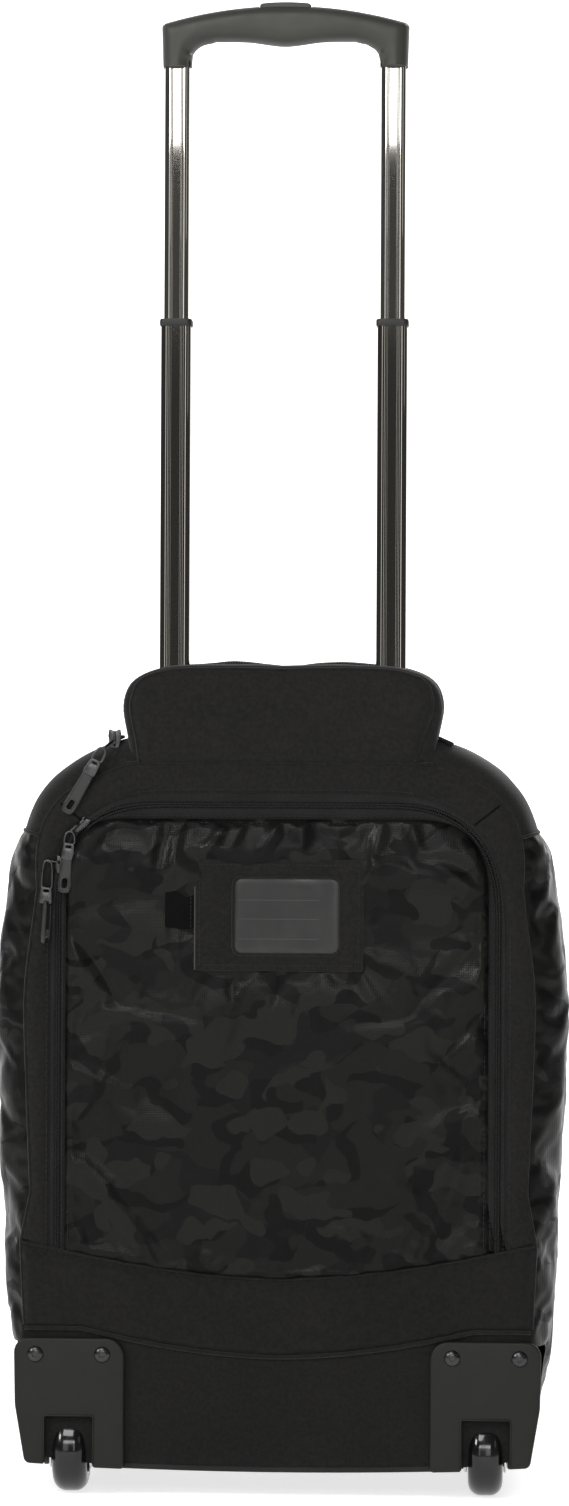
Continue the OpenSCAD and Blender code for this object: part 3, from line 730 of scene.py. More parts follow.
def moulded(name, base, rough=0.55, grain=900.0, depth=0.00012, tint=(1.0, 1.0, 0.93), spec=0.4):
    """Moulded plastic with a fine eroded grain and rubbed patches."""
    m, t, b, co = principled(name, spec=spec)
    cloud = tex_noise(t, co, 22.0, 4.0, 0.6)
    t.links.new(ramp(t, cloud, [(0.3, grey(base * 0.88, tint)), (0.7, grey(base * 1.12, tint))]),
                b.inputs["Base Color"])
    t.links.new(ramp(t, tex_noise(t, co, 90.0, 3.0), [(0.3, grey(rough - 0.05)), (0.7, grey(rough + 0.08))]),
                b.inputs["Roughness"])
    cells = add(t, "ShaderNodeTexVoronoi", None, Vector=co, Scale=grain).outputs["Distance"]
    bump(t, b, cells, 0.35, depth)
    return m


def anodised(name, base, rough=0.26, tint=(1.0, 0.95, 0.86)):
    m, t, b, co = principled(name, metal=1.0)
    streak = tex_noise(t, scaled(t, co, 60.0, 60.0, 2.0), 1.0, 1.0, 0.5)
    t.links.new(ramp(t, streak, [(0.3, grey(base * 0.94, tint)), (0.7, grey(base * 1.06, tint))]),
                b.inputs["Base Color"])
    b.inputs["Roughness"].default_value = rough
    return m


def metal(name, base, rough=0.3, tint=(1.0, 1.0, 1.0)):
    m, t, b, co = principled(name, metal=1.0)
    wear = tex_noise(t, co, 160.0, 4.0, 0.7)
    t.links.new(ramp(t, wear, [(0.35, grey(base, tint)), (0.75, grey(base * 1.4, tint))]),
                b.inputs["Base Color"])
    t.links.new(ramp(t, wear, [(0.3, grey(rough)), (0.7, grey(rough + 0.12))]), b.inputs["Roughness"])
    bump(t, b, tex_noise(t, co, 900.0, 2.0), 0.06, 0.00008)
    return m


def urethane(name):
    m, t, b, co = principled(name, rough=0.22, spec=0.3, coat=0.3, coat_rough=0.03)
    dust = tex_noise(t, co, 70.0, 5.0, 0.65)
    t.links.new(ramp(t, dust, [(0.35, grey(0.003)), (0.75, grey(0.008))]), b.inputs["Base Color"])
    t.links.new(ramp(t, dust, [(0.35, grey(0.10)), (0.75, grey(0.30))]), b.inputs["Roughness"])
    bump(t, b, tex_noise(t, co, 260.0, 3.0), 0.05, 0.0002)
    return m


def vinyl(name):
    """A card seen through a slightly cloudy clear window."""
    m, t, b, co = principled(name, rough=0.34, spec=0.35, coat=0.3, coat_rough=0.2)
    haze = tex_noise(t, scaled(t, co, 1.0, 1.0, 0.5, 0.5), 60.0, 4.0, 0.6, 0.8)
    t.links.new(ramp(t, haze, [(0.3, grey(0.002, (1.0, 1.0, 0.92))), (0.75, grey(0.010, (1.0, 1.0, 0.92)))]),
                b.inputs["Base Color"])
    bump(t, b, tex_noise(t, co, 38.0, 2.0, 0.5, 0.6), 0.35, 0.0016)
    return m


NEO = neoprene("neoprene_black")
NEO_BAND = neoprene("neoprene_band", 0.0052)
CAMO = camo("camo_weave")
LINING = woven("lining_cloth", 0.05, 0.0010)
BOTTOM = woven("coated_base_cloth", 0.010, 0.0016, 0.7, 0.25)
WEBBING = woven("webbing", 0.0085, 0.0017, 0.78, 0.2)
TAPE = woven("zip_tape", 0.0095, 0.0009, 0.8, 0.15)
COIL = moulded("zip_coil", 0.006, 0.5, 2400.0, 0.00004, spec=0.2)
TAB_CLOTH = woven("tab_cloth", 0.0025, 0.0012, 0.8, 0.06, 0.02)
THREAD_DARK = woven("seam_thread", 0.0022, 0.0005, 0.8, 0.05, 0.02)
THREAD = woven("stitch_thread", 0.016, 0.0005, 0.7)
MOULD = moulded("moulded_housing", 0.0090, 0.5, spec=0.25, tint=(1.0, 1.02, 0.86))
GRIP_MAT = moulded("grip_plastic", 0.034, 0.50, 1200.0, 0.0001, tint=(1.0, 1.02, 0.86))
BUTTON_MAT = moulded("button_plastic", 0.028, 0.42, 1600.0, 0.00006)
BLACK_PLASTIC = moulded("black_plastic", 0.012, 0.5)
BOARD = moulded("frame_board", 0.016, 0.6, 500.0, 0.0002)
RUBBER_PULL = moulded("pull_rubber", 0.010, 0.36, 1500.0, 0.00006, spec=0.5)
FOOT = moulded("foot_rubber", 0.012, 0.6)
TUBE_IN = anodised("anodised_upper", 0.38, 0.05)
TUBE_MID = anodised("anodised_middle", 0.21, 0.05)
TUBE_OUT = anodised("anodised_outer", 0.45, 0.35, (1, 1, 1))
STEEL = metal("steel_bright", 0.62, 0.2)
RIVET = metal("rivet_black_steel", 0.05, 0.24)
SLIDER = metal("slider_gunmetal", 0.06, 0.26)
TREAD = urethane("urethane_tread")
HUB = moulded("hub_plastic", 0.03, 0.4)
VINYL = vinyl("clear_window")
CARD_LINE = moulded("card_line", 0.04, 0.5)
# paler than the neoprene: painted highlight along the identity frame's folded left edge
FOLD_LINE = moulded("fold_painted_highlight", 0.03, 0.45)


def dress(ob, slot_name, body, *nodes):
    """Put a piece on its body and hide the CAD nodes it stands for; slot_name is not used."""
    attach(ob, body)
    if nodes:
        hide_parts(*nodes)
    return ob


# better finishes on the CAD pieces that stay
KEEP = {"outer_tubes": TUBE_OUT, "middle_tubes": TUBE_MID, "inner_tubes": TUBE_IN,
        "middle_collars": BLACK_PLASTIC, "middle_plugs": BLACK_PLASTIC, "inner_plugs": BLACK_PLASTIC,
        "lower_lock_pins": STEEL, "upper_lock_pins": STEEL, "pull_rods": STEEL, "tube_bracket": BLACK_PLASTIC,
        "top_bezel": BLACK_PLASTIC, "frame_sheet": BOARD, "base_board": BOARD, "wheel_axles": STEEL}
for node_name, material in KEEP.items():
    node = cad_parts[node_name]
    if not node.material_slots:
        node.data.materials.append(material)
    for cad_slot in node.material_slots:
        cad_slot.material = material

# ------------------------------------------------------------------ the gusset: sides, shoulders, underside

HOUSING_TOP, HOUSING_BACK = 97.0, -57.0
WELL_BACK = -50.0        # the deck starts behind the handle well
N_LOOP = len(CONTOUR)


def gusset_point(i, y, inset=0.0):
    """Point of the gusset at contour station i and depth y."""
    d = gusset_inset(i, y) + inset
    x, z = CONTOUR[i] - NORMAL[i] * d
    return x, y, z


def gusset(name, material, want, ys=GUSSET_Y, inset=0.0, skip=None, bulge=None):
    """Part of the loop round the bag, over the stations that want(x, z) picks."""
    idx = [i for i in range(N_LOOP) if want(*CONTOUR[i])]
    breaks = [k for k in range(1, len(idx)) if idx[k] != idx[k - 1] + 1]
    if breaks:
        idx = idx[breaks[0]:] + idx[:breaks[0]]
    rows = []
    for i in idx:
        row = []
        for y in ys:
            x, yy, z = gusset_point(i, y, inset)
            if bulge is not None:
                d = bulge(x, y, z)
                x, z = x + NORMAL[i][0] * d, z + NORMAL[i][1] * d
            row.append((x, yy, z))
        rows.append(row)

    def keep(r, c):
        if skip is None:
            return True
        q = [rows[r][c], rows[r + 1][c], rows[r][c + 1], rows[r + 1][c + 1]]
        return not skip(sum(p[0] for p in q) / 4, sum(p[1] for p in q) / 4, sum(p[2] for p in q) / 4)
    return grid_mesh(name, rows, material, keep=keep)


def in_housing(x, y, z):
    """Where a wheel housing takes the gusset's place."""
    return z < HOUSING_TOP - 3 and y < HOUSING_BACK - 3 and abs(x) > 93


def pinned_borders(ob):
    """1 for border vertices, 0 inside."""
    bm = bmesh.new()
    bm.from_mesh(ob.data)
    w = [1.0 if v.is_boundary else 0.0 for v in bm.verts]
    bm.free()
    return w


def side_bulge(seed):
    """Loose upright folds and dents in the camouflage sides, in millimetres."""
    def f(x, y, z):
        edge = unit(min((z - CAMO_LOW_Z) / 30.0, (CAMO_TOP_Z - z) / 14.0, (y - SEAM_Y) / 16.0,
                        (FRONT_Y - y) / 14.0))
        broad = ripple(y / 46, z / 70, seed)
        folds = ripple(y / 16 + z / 60, z / 34, seed + 7)
        sharp = 1 - abs(ripple(y / 22 - z / 45, z / 40, seed + 19)) * 2.4
        return edge * (1.2 * broad + 1.3 * folds + 1.5 * max(0.0, sharp) ** 2 + 1.2)
    return f


camo_over = CAMO_TOP_Z + 2             # the camouflage runs on a little under the shoulder's seam
for side, label in SIDES:
    panel = gusset("camo_side_" + label, CAMO, lambda x, z: x * side > 0 and CAMO_LOW_Z <= z <= camo_over,
                   skip=in_housing, bulge=side_bulge(3.7 + side))
    flip_towards(panel, (side, 0, 0))
    cloth(panel, pinned_borders(panel), 16, 2.2, 0.03, 5.0)
    subdivide(panel)
    dress(panel, "camo_fabric", "bag", "side_panel_" + label)


def shoulder_puff(x, y, z):
    edge = unit(min((y - SEAM_Y) / 12.0, (FRONT_Y - y) / 12.0))
    return edge * (0.9 * ripple(x / 50, y / 40, z / 50) + 0.5 * ripple(x / 17, y / 21, z / 19))


shoulders = gusset("shoulder_top", NEO, lambda x, z: z >= CAMO_TOP_Z - 0.5,
                   skip=lambda x, y, z: abs(x) < 88 and y < WELL_BACK, bulge=shoulder_puff)
flip_towards(shoulders, (0, 0, 1))
subdivide(shoulders)
dress(shoulders, "neoprene", "bag", "shoulder_gusset")

# seam cords where the camouflage meets the shoulders
for side, label in SIDES:
    i = min(range(N_LOOP), key=lambda k: abs(CONTOUR[k][1] - CAMO_TOP_Z)
            + (0 if CONTOUR[k][0] * side > 0 else 999))
    path = [gusset_point(i, y, -0.3) for y in GUSSET_Y]
    seam = sweep("camo_top_seam_" + label, path, 1.1, NEO, sides=8)
    dress(seam, "neoprene", "bag")

underside = gusset("underside", BOTTOM, lambda x, z: z <= CAMO_LOW_Z + 1,
                   ys=[y for y in GUSSET_Y if y < 72] + [72, 77, 82],
                   skip=lambda x, y, z: abs(x) > 94 and y < HOUSING_BACK - 2,
                   bulge=lambda x, y, z: 0.9 * ripple(x / 60, y / 40, z / 30))
flip_towards(underside, (0, 0, -1))
dress(underside, "board", "bag", "bottom_panel")

# inner lining of the shell, seen when the door is open
inner = gusset("shell_lining", LINING, lambda x, z: True, ys=list(np.linspace(-54, FRONT_Y, 24)), inset=6.0,
               bulge=lambda x, y, z: 0.8 * ripple(x / 30, y / 26, z / 30),
               skip=lambda x, y, z: z < 60 and y < -55)
dress(inner, "lining", "bag")

# ------------------------------------------------------------------ the wheel side, panel by panel


def surface_path(ob, points, lift):
    """Points (x, z) dropped from the front onto a panel, standing off by lift."""
    mesh = ob.data
    tree = BVHTree.FromPolygons([v.co for v in mesh.vertices], [tuple(f.vertices) for f in mesh.polygons])
    out = []
    for x, z in points:
        hit = tree.ray_cast(Vector((x * MM, -0.3, z * MM)), Vector((0, 1, 0)))[0]
        if hit:
            out.append((x, hit.y / MM - lift, z))
    return out


def band_top(x):
    """Height of the bumper band's upper edge."""
    return 133.5 + 21.0 * (abs(x) / 155.0) ** 1.7


def band_bottom(x):
    """Height of the bumper band's lower edge."""
    return 86.3 + 16.5 * (min(abs(x), 120.0) / 120.0) ** 1.8


def arch_path(hw, top, rx, rz, n, z0, steps=26):
    """Half-superellipse arch from the left foot over the top to the right foot."""
    cz = top - rz
    right = [(hw, z) for z in np.linspace(z0, cz, max(2, int((cz - z0) / 6)))]
    for k in range(1, steps + 1):
        a = math.pi / 2 * k / steps
        right.append((hw - rx + rx * abs(math.cos(a)) ** (2 / n), cz + rz * math.sin(a) ** (2 / n)))
    right += [(x, top) for x in np.linspace(hw - rx, 0, 12)[1:]]
    left = [(-x, z) for x, z in right[:-1]]
    return np.array(left + right[::-1])


POCKET = dict(outer=(139.3, 431.0, 94.0, 96.0, 2.9), coil=(134.0, 423.5, 70.0, 72.0, 2.6),
              inner=(128.0, 415.0, 43.0, 46.0, 2.5))
LEFT_SIDE = dict(outer=(140.2, 431.0, 90.0, 90.0, 2.9), coil=(135.6, 423.5, 66.0, 66.0, 2.6),
                 inner=(131.0, 415.0, 36.0, 38.0, 2.5))


def pocket_arch(which, grow=0.0, foot=None):
    """One of the pocket's arches; its left half is a little wider than its right."""
    halves = []
    for sizes in (LEFT_SIDE, POCKET):
        hw, top, rx, rz, n = sizes[which]
        hw, top = hw + grow, top + grow
        arch = arch_path(hw, top, rx, rz, n, band_top(hw) if foot is None else foot)
        halves.append(arch[arch[:, 0] < 0] if sizes is LEFT_SIDE else arch[arch[:, 0] >= 0])
    return np.vstack(halves)


def seam_run(z0):
    """SEAM points above z0 in order from right foot over the top to left foot."""
    start = next(i for i in range(N_LOOP) if SEAM[i][0] > 100 and SEAM[i][1] >= z0)
    out = []
    for k in range(N_LOOP):
        p = SEAM[(start + k) % N_LOOP]
        if p[1] < z0:
            break
        out.append(tuple(p))
    return out


RIM_TOP = 449.0
RIM_FLAT = 94         # half width of the straight top of the rim
over = [p for p in seam_run(band_top(154)) if p[1] < RIM_TOP or abs(p[0]) > RIM_FLAT]
rim_right = [p for p in over if p[0] > 0]
rim_left = [p for p in over if p[0] < 0]
rim_outer = rim_right + [(90, RIM_TOP), (-90, RIM_TOP)] + rim_left
rim_loop = rim_outer + [tuple(p) for p in pocket_arch("outer")]


def crease(x, z, a, b, w, h):
    """A soft ridge (h > 0) or valley along the line a-b."""
    ax, az = a
    ex, ez = b[0] - ax, b[1] - az
    t = ((x - ax) * ex + (z - az) * ez) / (ex * ex + ez * ez)
    tt = min(max(t, 0.0), 1.0)
    d = math.hypot(x - ax - tt * ex, z - az - tt * ez)
    return h * math.exp(-(d / w) ** 2) * (0.35 + 0.65 * math.sin(math.pi * min(max(t, 0.03), 0.97)))


def rim_wave(x, z, d):
    k = min(1.0, d / 6.0)
    w = 0.5 * ripple(x / 26, z / 26, 4.0) + 0.35 * ripple(x / 60, z / 60, 9.0)
    w -= crease(x, z, (133.0, 420.5), (121.5, 410.0), 1.1, -1.0)
    w -= crease(x, z, (110.0, 446.0), (101.0, 428.0), 4.0, 0.8)
    return -k * w


rim = fabric_panel("back_rim", rim_loop, [], 4.0, SEAM_Y, 2.6, 6.0, NEO, rim_wave, subdiv=True)
dress(rim, "neoprene", "bag", "back_rim_sides", "back_rim_top")

# bumper band
side_hi = sorted([tuple(p) for p in SEAM if p[0] > 100 and 104.5 < p[1] < 153], key=lambda p: p[1])
band_loop = [(x, band_bottom(x)) for x in np.linspace(-156.5, 156.5, 60)]
band_loop += side_hi + [(x, band_top(x)) for x in np.linspace(157.5, -157.5, 70)]
band_loop += [(-a, b) for a, b in side_hi[::-1]]


def band_wave(x, z, d):
    k = min(1.0, d / 8.0)
    return -k * (0.5 * ripple(x / 55, z / 30, 14.0) + 0.25 * ripple(x / 18, z / 18, 15.0))


band = fabric_panel("bumper_band_pad", band_loop, [], 4.0, SEAM_Y - 0.2, 3.4, 6.5, NEO_BAND, band_wave,
                    subdiv=True)
dress(band, "neoprene", "bag", "bumper_band")
band_edge = sweep("bumper_lower_piping", [(x, SEAM_Y - 2.5, band_bottom(x) - 0.2)
                                          for x in np.linspace(-155, 155, 90)], 1.25, NEO, sides=8)
dress(band_edge, "neoprene", "bag")
band_fold = sweep("bumper_upper_fold", [(x, SEAM_Y - 0.9, band_top(x) + 0.2)
                                        for x in np.linspace(-157, 157, 90)], 0.9, NEO, sides=8)
dress(band_fold, "neoprene", "bag")

for side, label in SIDES[::-1]:
    mitre = [(side * (113.5 + 21.0 * k), 407.5 + 16.5 * k) for k in np.linspace(0, 1, 12)]
    seam = sweep("rim_mitre_" + label, surface_path(rim, mitre, 0.05), 0.5, THREAD_DARK, sides=6)
    dress(seam, "neoprene", "bag")

# plain panel between the housings, running on behind them
low_loop = [(x, band_bottom(x) + 7.0) for x in np.linspace(156, -156, 60)]
foot_half = [(0, 16.5), (60, 17.5), (110, 19), (148, 24), (152, 40), (154, 70)]
low_loop += [(-x, z) for x, z in foot_half[:0:-1]] + foot_half
lower = fabric_panel("lower_back", low_loop, [], 4.5, SEAM_Y + 0.3, 2.2, 9.0, NEO_BAND, band_wave,
                     subdiv=True)
dress(lower, "neoprene", "bag", "lower_back_panel")
# binding along the foot of the panel
foot_edge = sweep("lower_binding", [(x, SEAM_Y + 0.6, 17.2 + 2.0 * (x / 110) ** 2)
                                    for x in np.linspace(-96, 96, 50)], 2.0, BOTTOM, sides=8)
dress(foot_edge, "neoprene", "bag")

# seam cord between the back panel and the gusset
cord_pts = [(x, SEAM_Y + 0.4, z) for x, z in seam_run(104) if abs(x) > RIM_FLAT or z < 440]
for side, label in SIDES[::-1]:
    pts = [p for p in cord_pts if p[0] * side > 0]
    seam = sweep("edge_seam_" + label, pts, 1.1, NEO, sides=8)
    dress(seam, "neoprene", "bag")

# ------------------------------------------------------------------ the camouflage flap

# each fold: start, end, width, height
FOLDS = [
    ((-31, 413), (-48, 392), 4.0, 2.6), ((-20, 414), (-34, 395), 3.0, 1.8),
    ((1, 413), (-11, 396), 3.6, 2.4), ((16, 414), (12, 398), 4.5, 1.4),
    ((-61, 410), (-66, 377), 3.2, 1.8), ((-70, 408), (-74, 384), 3.0, -1.4),
    ((64, 411), (56, 391), 4.0, 2.2), ((52, 375), (64, 390), 4.0, 1.5), ((80, 412), (86, 392), 4.0, 1.6),
    ((81, 378), (108, 378), 5.0, 2.0), ((100, 384), (121, 370), 4.5, 2.6),
    ((92, 395), (112, 399), 5.0, 1.3), ((-128, 350), (-98, 303), 3.6, -2.4),
    ((-126, 340), (-108, 300), 8.0, 1.6), ((126, 346), (82, 299), 3.8, -2.6),
    ((128, 330), (104, 292), 9.0, 2.2), ((127, 301), (100, 270), 3.4, -2.0),
    ((126, 286), (108, 262), 6.0, 1.4), ((-100, 303), (-52, 294), 3.2, -1.4),
    ((-96, 310), (-60, 301), 4.0, 1.0), ((-128, 395), (-112, 384), 5.0, 1.5),
    ((-110, 400), (-92, 380), 6.0, 1.1), ((84, 296), (40, 290), 4.0, -1.0),
    ((-124, 262), (-96, 248), 5.0, 1.2), ((124, 236), (96, 226), 6.0, 1.2),
    ((-60, 172), (-20, 160), 7.0, 1.0), ((60, 196), (100, 176), 7.0, 1.2),
    ((20, 168), (60, 156), 6.0, 0.9),
]


def flap_folds(x, z, d):
    k = min(1.0, d / 5.0)
    s = 1.35 * sum(crease(x, z, a, b, w, h) for a, b, w, h in FOLDS)
    broad = 1.3 * ripple(x / 75, z / 75, 21.0) + 0.7 * ripple(x / 30, z / 36, 22.0)
    pucker = 0.55 * math.exp(-d / 9.0) * ripple(x / 6.5, z / 6.5, 23.0)
    top = 5.0 * math.exp(-((z - 386) / 17.0) ** 2)
    # flat behind the identity holder
    hx = unit((abs(x) - 44) / 14.0)
    hz = unit((abs(z - 356) - 31) / 10.0)
    calm = max(hx, hz)
    return -k * (calm * (s + broad + top) + pucker)


def flap_loop(inset=0.0):
    left, right = LEFT_SIDE["inner"][0] - inset, POCKET["inner"][0] - inset
    pts = [tuple(p) for p in pocket_arch("inner", -inset)[::-1]]
    return pts + [(x, band_top(x)) for x in np.linspace(-left, right, 50)[1:-1]]


def bend_with_flap(ob):
    """Bake the piece's placement into its mesh."""
    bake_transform(ob)


flap = fabric_panel("pocket_flap_camo", flap_loop(), [], 3.6, SEAM_Y, 3.4, 7.0, CAMO, flap_folds)
sewn = [1.0 if abs(v.co.x) < 0.049 and abs(v.co.z - 0.356) < 0.031 else p
        for v, p in zip(flap.data.vertices, pinned_borders(flap))]
cloth(flap, sewn, 14, 2.0, 0.025, 3.0, stiffness=14.0, bending=0.5)
subdivide(flap)
bend_with_flap(flap)
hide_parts("pocket_flap")

back_of_flap = fabric_panel("flap_lining", flap_loop(2.0), [], 7.0, -98.6, -0.6, 9.0, LINING)
back_of_flap.data.flip_normals()
bend_with_flap(back_of_flap)

# the pocket behind it
lining_loop = [tuple(p) for p in pocket_arch("outer", -1.5, 150.0)[::-1]]
lining_loop += [(x, 150.0) for x in np.linspace(-137, 137, 30)[1:-1]]
pocket_back = fabric_panel("pocket_lining", lining_loop, [], 7.0, -88.4, 0.8, 12.0, LINING,
                           lambda x, z, d: -0.5 * ripple(x / 40, z / 40, 31.0))
dress(pocket_back, "lining", "bag")
wall = pocket_arch("outer", -0.8, 150.0)
pocket_wall = grid_mesh("pocket_side_lining", [[(x, y, z) for y in np.linspace(-99, -88, 5)]
                                               for x, z in wall], LINING)
dress(pocket_wall, "lining", "bag")

# zip tapes: the outer one stays on the bag, the inner one runs along the flap's edge
TAPE_Y, COIL_Y = SEAM_Y + 0.1, SEAM_Y - 0.5


def at_y(path, y):
    return [(p[0], y, p[1]) for p in path]


ZFOOT = 149.5
outer_tape = ribbon("zip_tape_outer", at_y(pocket_arch("outer", 0.8, ZFOOT), SEAM_Y + 0.4),
                    at_y(pocket_arch("coil", 0.3, ZFOOT), TAPE_Y), TAPE, (0, -0.9, 0))
dress(outer_tape, "zip_tape", "bag", "pocket_zip")
inner_tape = ribbon("zip_tape_inner", at_y(pocket_arch("coil", -0.3, ZFOOT), TAPE_Y),
                    at_y(pocket_arch("inner", -0.8, ZFOOT - 1), SEAM_Y + 0.4), TAPE, (0, -0.9, 0))
bend_with_flap(inner_tape)

for which, grow, label, body in (("coil", 0.75, "outer", "bag"), ("coil", -0.75, "inner", "flap")):
    path = at_y(pocket_arch(which, grow, ZFOOT), COIL_Y)
    line = sweep("zip_coil_" + label + "_core", resample(path, 4.0), 0.55, COIL, sides=6)
    teeth = studs("zip_coil_" + label + "_teeth", path, 1.5, 0.85, 2.1, 1.0, COIL, turn=0.18,
                  start=0.0 if label == "outer" else 0.75)
    teeth.data.transform(Matrix.Translation((0, 0.0001, 0)))
    coil = join("zip_coil_" + label, [line, teeth])
    if body == "bag":
        dress(coil, "zip_tape", "bag")
    else:
        bend_with_flap(coil)

# lines of stitching beside the tape
for which, grow, y, label, body in (("outer", 2.0, SEAM_Y - 1.2, "rim", "bag"),
                                    ("outer", -1.6, SEAM_Y - 0.6, "tape_outer", "bag"),
                                    ("inner", 1.6, SEAM_Y - 0.6, "tape_inner", "flap"),
                                    ("inner", -2.2, SEAM_Y - 1.9, "flap", "flap")):
    row = studs("stitches_" + label, at_y(pocket_arch(which, grow, ZFOOT + 1), y), 3.4, 2.4, 0.5, 0.35,
                THREAD)
    if body == "bag":
        dress(row, "zip_tape", "bag")
    else:
        bend_with_flap(row)

# ------------------------------------------------------------------ the humped cover

HUMP_FOOT, DECK_Z = 449.0, 466.6     # the cover starts at the rim; behind it the deck is higher
HUMP_HALF = [(HUMP_FOOT, 92.8), (458, 93.8), (467, 95.4), (476, 97.4), (483, 98.2), (490, 97.4), (496, 95.0),
             (500.5, 91.0), (504.4, 84.5), (507.4, 75.0), (509.2, 62.0), (509.8, 30.0), (509.2, 0.0)]
HUMP_SHIFT = 1.2         # the hump sits a little to the right
_h = smooth_curve([(b, a) for a, b in HUMP_HALF], 6)
HUMP = resample(np.vstack([_h, [(-x, z) for x, z in _h[::-1][1:]]]) + (HUMP_SHIFT, 0.0), 3.6)
_ht = np.gradient(HUMP, axis=0)
_ht /= np.linalg.norm(_ht, axis=1)[:, None]
HUMP_N = np.column_stack([_ht[:, 1], -_ht[:, 0]])


def hump_rise(x, z, rear):
    """The rear half stands a little higher and waves along its top."""
    if not rear:
        return 0.4 * ripple(x / 20, z / 20, 2.0)
    k = unit((z - 480) / 22.0)
    wave = (1.6 * math.exp(-((x + 30) / 16.0) ** 2) + 1.4 * math.exp(-((x - 36) / 18.0) ** 2)
            - 1.1 * math.exp(-((x - 5) / 9.0) ** 2))
    return 0.3 + k * (1.2 + wave) + 0.3 * ripple(x / 14, z / 14, 5.0)


def hump_inset(x, z):
    """How far the cover's face seam lies inside the hump."""
    k = unit((z - 449) / 50.0)
    side = 5.5 if x < 0 else 5.5 + 6.0 * (1 - k) ** 1.5
    top = unit((z - 494) / 10.0)
    return side * (1 - top) + 3.0 * top


def hump_shell(name, seam_y, y_edge_side, y_edge_top, rear):
    """Rounded band from the face seam over the edge and back to the zip."""
    sign = 1 if seam_y < y_edge_side else -1
    rows = []
    for (x, z), n in zip(HUMP, HUMP_N):
        ins = hump_inset(x, z)
        rise = hump_rise(x, z, rear)
        top = unit((z - 486) / 18.0)
        edge = y_edge_side + (y_edge_top - y_edge_side) * top
        row = []
        for k in range(7):
            a = math.pi / 2 * k / 6
            d = ins * (1 - math.sin(a)) - rise * math.sin(a)
            row.append((x - n[0] * d, seam_y + sign * 7.0 * (1 - math.cos(a)), z - n[1] * d))
        y0 = seam_y + sign * 7.0
        for k in range(1, 7):
            t = k / 6
            sag = -rise + 0.5 * math.sin(math.pi * t) * ripple(x / 15, z / 15, t * 3)
            tuck = 1.5 * t ** 3
            row.append((x - n[0] * (sag + tuck), y0 + (edge - y0) * t, z - n[1] * (sag + tuck)))
        rows.append(row)
    ob = grid_mesh(name, rows, NEO)
    flip_towards(ob, (0, 0, 1))
    modify(ob, "SOLIDIFY", thickness=0.0022, offset=-1.0)
    return bake(ob), rows


def hump_loop(extra=0.0, rear=False):
    """The hump's outline at its face seam."""
    pts = []
    for (x, z), n in zip(HUMP, HUMP_N):
        d = hump_inset(x, z) + extra - (hump_rise(x, z, rear) if rear else 0) * 0.3
        pts.append((x - n[0] * d, max(z - n[1] * d, HUMP_FOOT + 0.2)))
    return pts


def hump_wave(x, z, d):
    k = min(1.0, d / 9.0)
    return -k * (0.9 * ripple(x / 48, z / 30, 41.0) + 0.3 * ripple(x / 15, z / 15, 42.0))


near_face = fabric_panel("cover_near_face", hump_loop(), [], 3.6, SEAM_Y, 3.0, 7.0, NEO, hump_wave,
                         subdiv=True)
near_band, near_rows = hump_shell("cover_near_band", SEAM_Y, -71.0, -82.5, False)
dress(near_face, "neoprene", "cover", "cover_near_pad")
dress(near_band, "neoprene", "cover")
inner_face = fabric_panel("cover_near_lining", hump_loop(0.5), [], 7.0, -96.5, 0.6, 9.0, LINING)
inner_face.data.flip_normals()
dress(inner_face, "lining", "cover")

rear_face = fabric_panel("cover_rear_face", [(x, max(z, DECK_Z)) for x, z in hump_loop(0.0, True)], [],
                         3.6, 36.5, 2.6, 7.0, NEO, hump_wave, subdiv=True)
rear_face.data.transform(Matrix.Diagonal((1, -1, 1, 1)))
rear_face.data.flip_normals()
rear_band, rear_rows = hump_shell("cover_rear_band", -36.5, -68.0, -55.5, True)
dress(rear_face, "neoprene", "bag", "cover_rear_pad")
dress(rear_band, "neoprene", "bag")
rear_lining = fabric_panel("cover_rear_lining", [(x, max(z, 460)) for x, z in hump_loop(0.5, True)],
                           [], 7.0, -44.0, 0.6, 9.0, LINING)
dress(rear_lining, "lining", "bag")

# lining of the handle well
well = []
for x, z in rounded(-HUMP_X + 1.5, HUMP_X - 1.5, WELL_BACK - 33.0, WELL_BACK - 2.0, 6):
    well.append([(x, z, zz) for zz in np.linspace(HUMP_FOOT, 467.5, 4)])
well_lining = grid_mesh("handle_well_lining", well + [well[0]], LINING)
dress(well_lining, "lining", "bag")

# zip chain along both open edges
for rows, label, body in ((near_rows, "near", "cover"), (rear_rows, "rear", "bag")):
    edge = [r[-1] for r in rows]
    off = 1.8 if label == "near" else -1.8
    tape = ribbon("cover_zip_tape_" + label, edge, [(x, y + off * 1.6, z - 0.4) for x, y, z in edge], TAPE)
    teeth = studs("cover_zip_teeth_" + label, [(x, y + off * 1.6, z - 0.2) for x, y, z in edge], 1.7,
                  1.0, 2.2, 1.2, COIL, up=(0, 0, 1))
    zipper = join("cover_zip_" + label, [tape, teeth])
    dress(zipper, "zip_tape", body)
    if label == "rear":
        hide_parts("cover_zip")

# binding cord between face and band
for loop, y, label, body in ((hump_loop(-0.2), SEAM_Y + 0.2, "near", "cover"),
                             ([(x, z) for x, z in hump_loop(-0.2, True) if z > 468], -36.3, "rear", "bag")):
    seam = sweep("cover_piping_" + label, [(x, y, z) for x, z in loop], 1.0, NEO, sides=8)
    dress(seam, "neoprene", body)

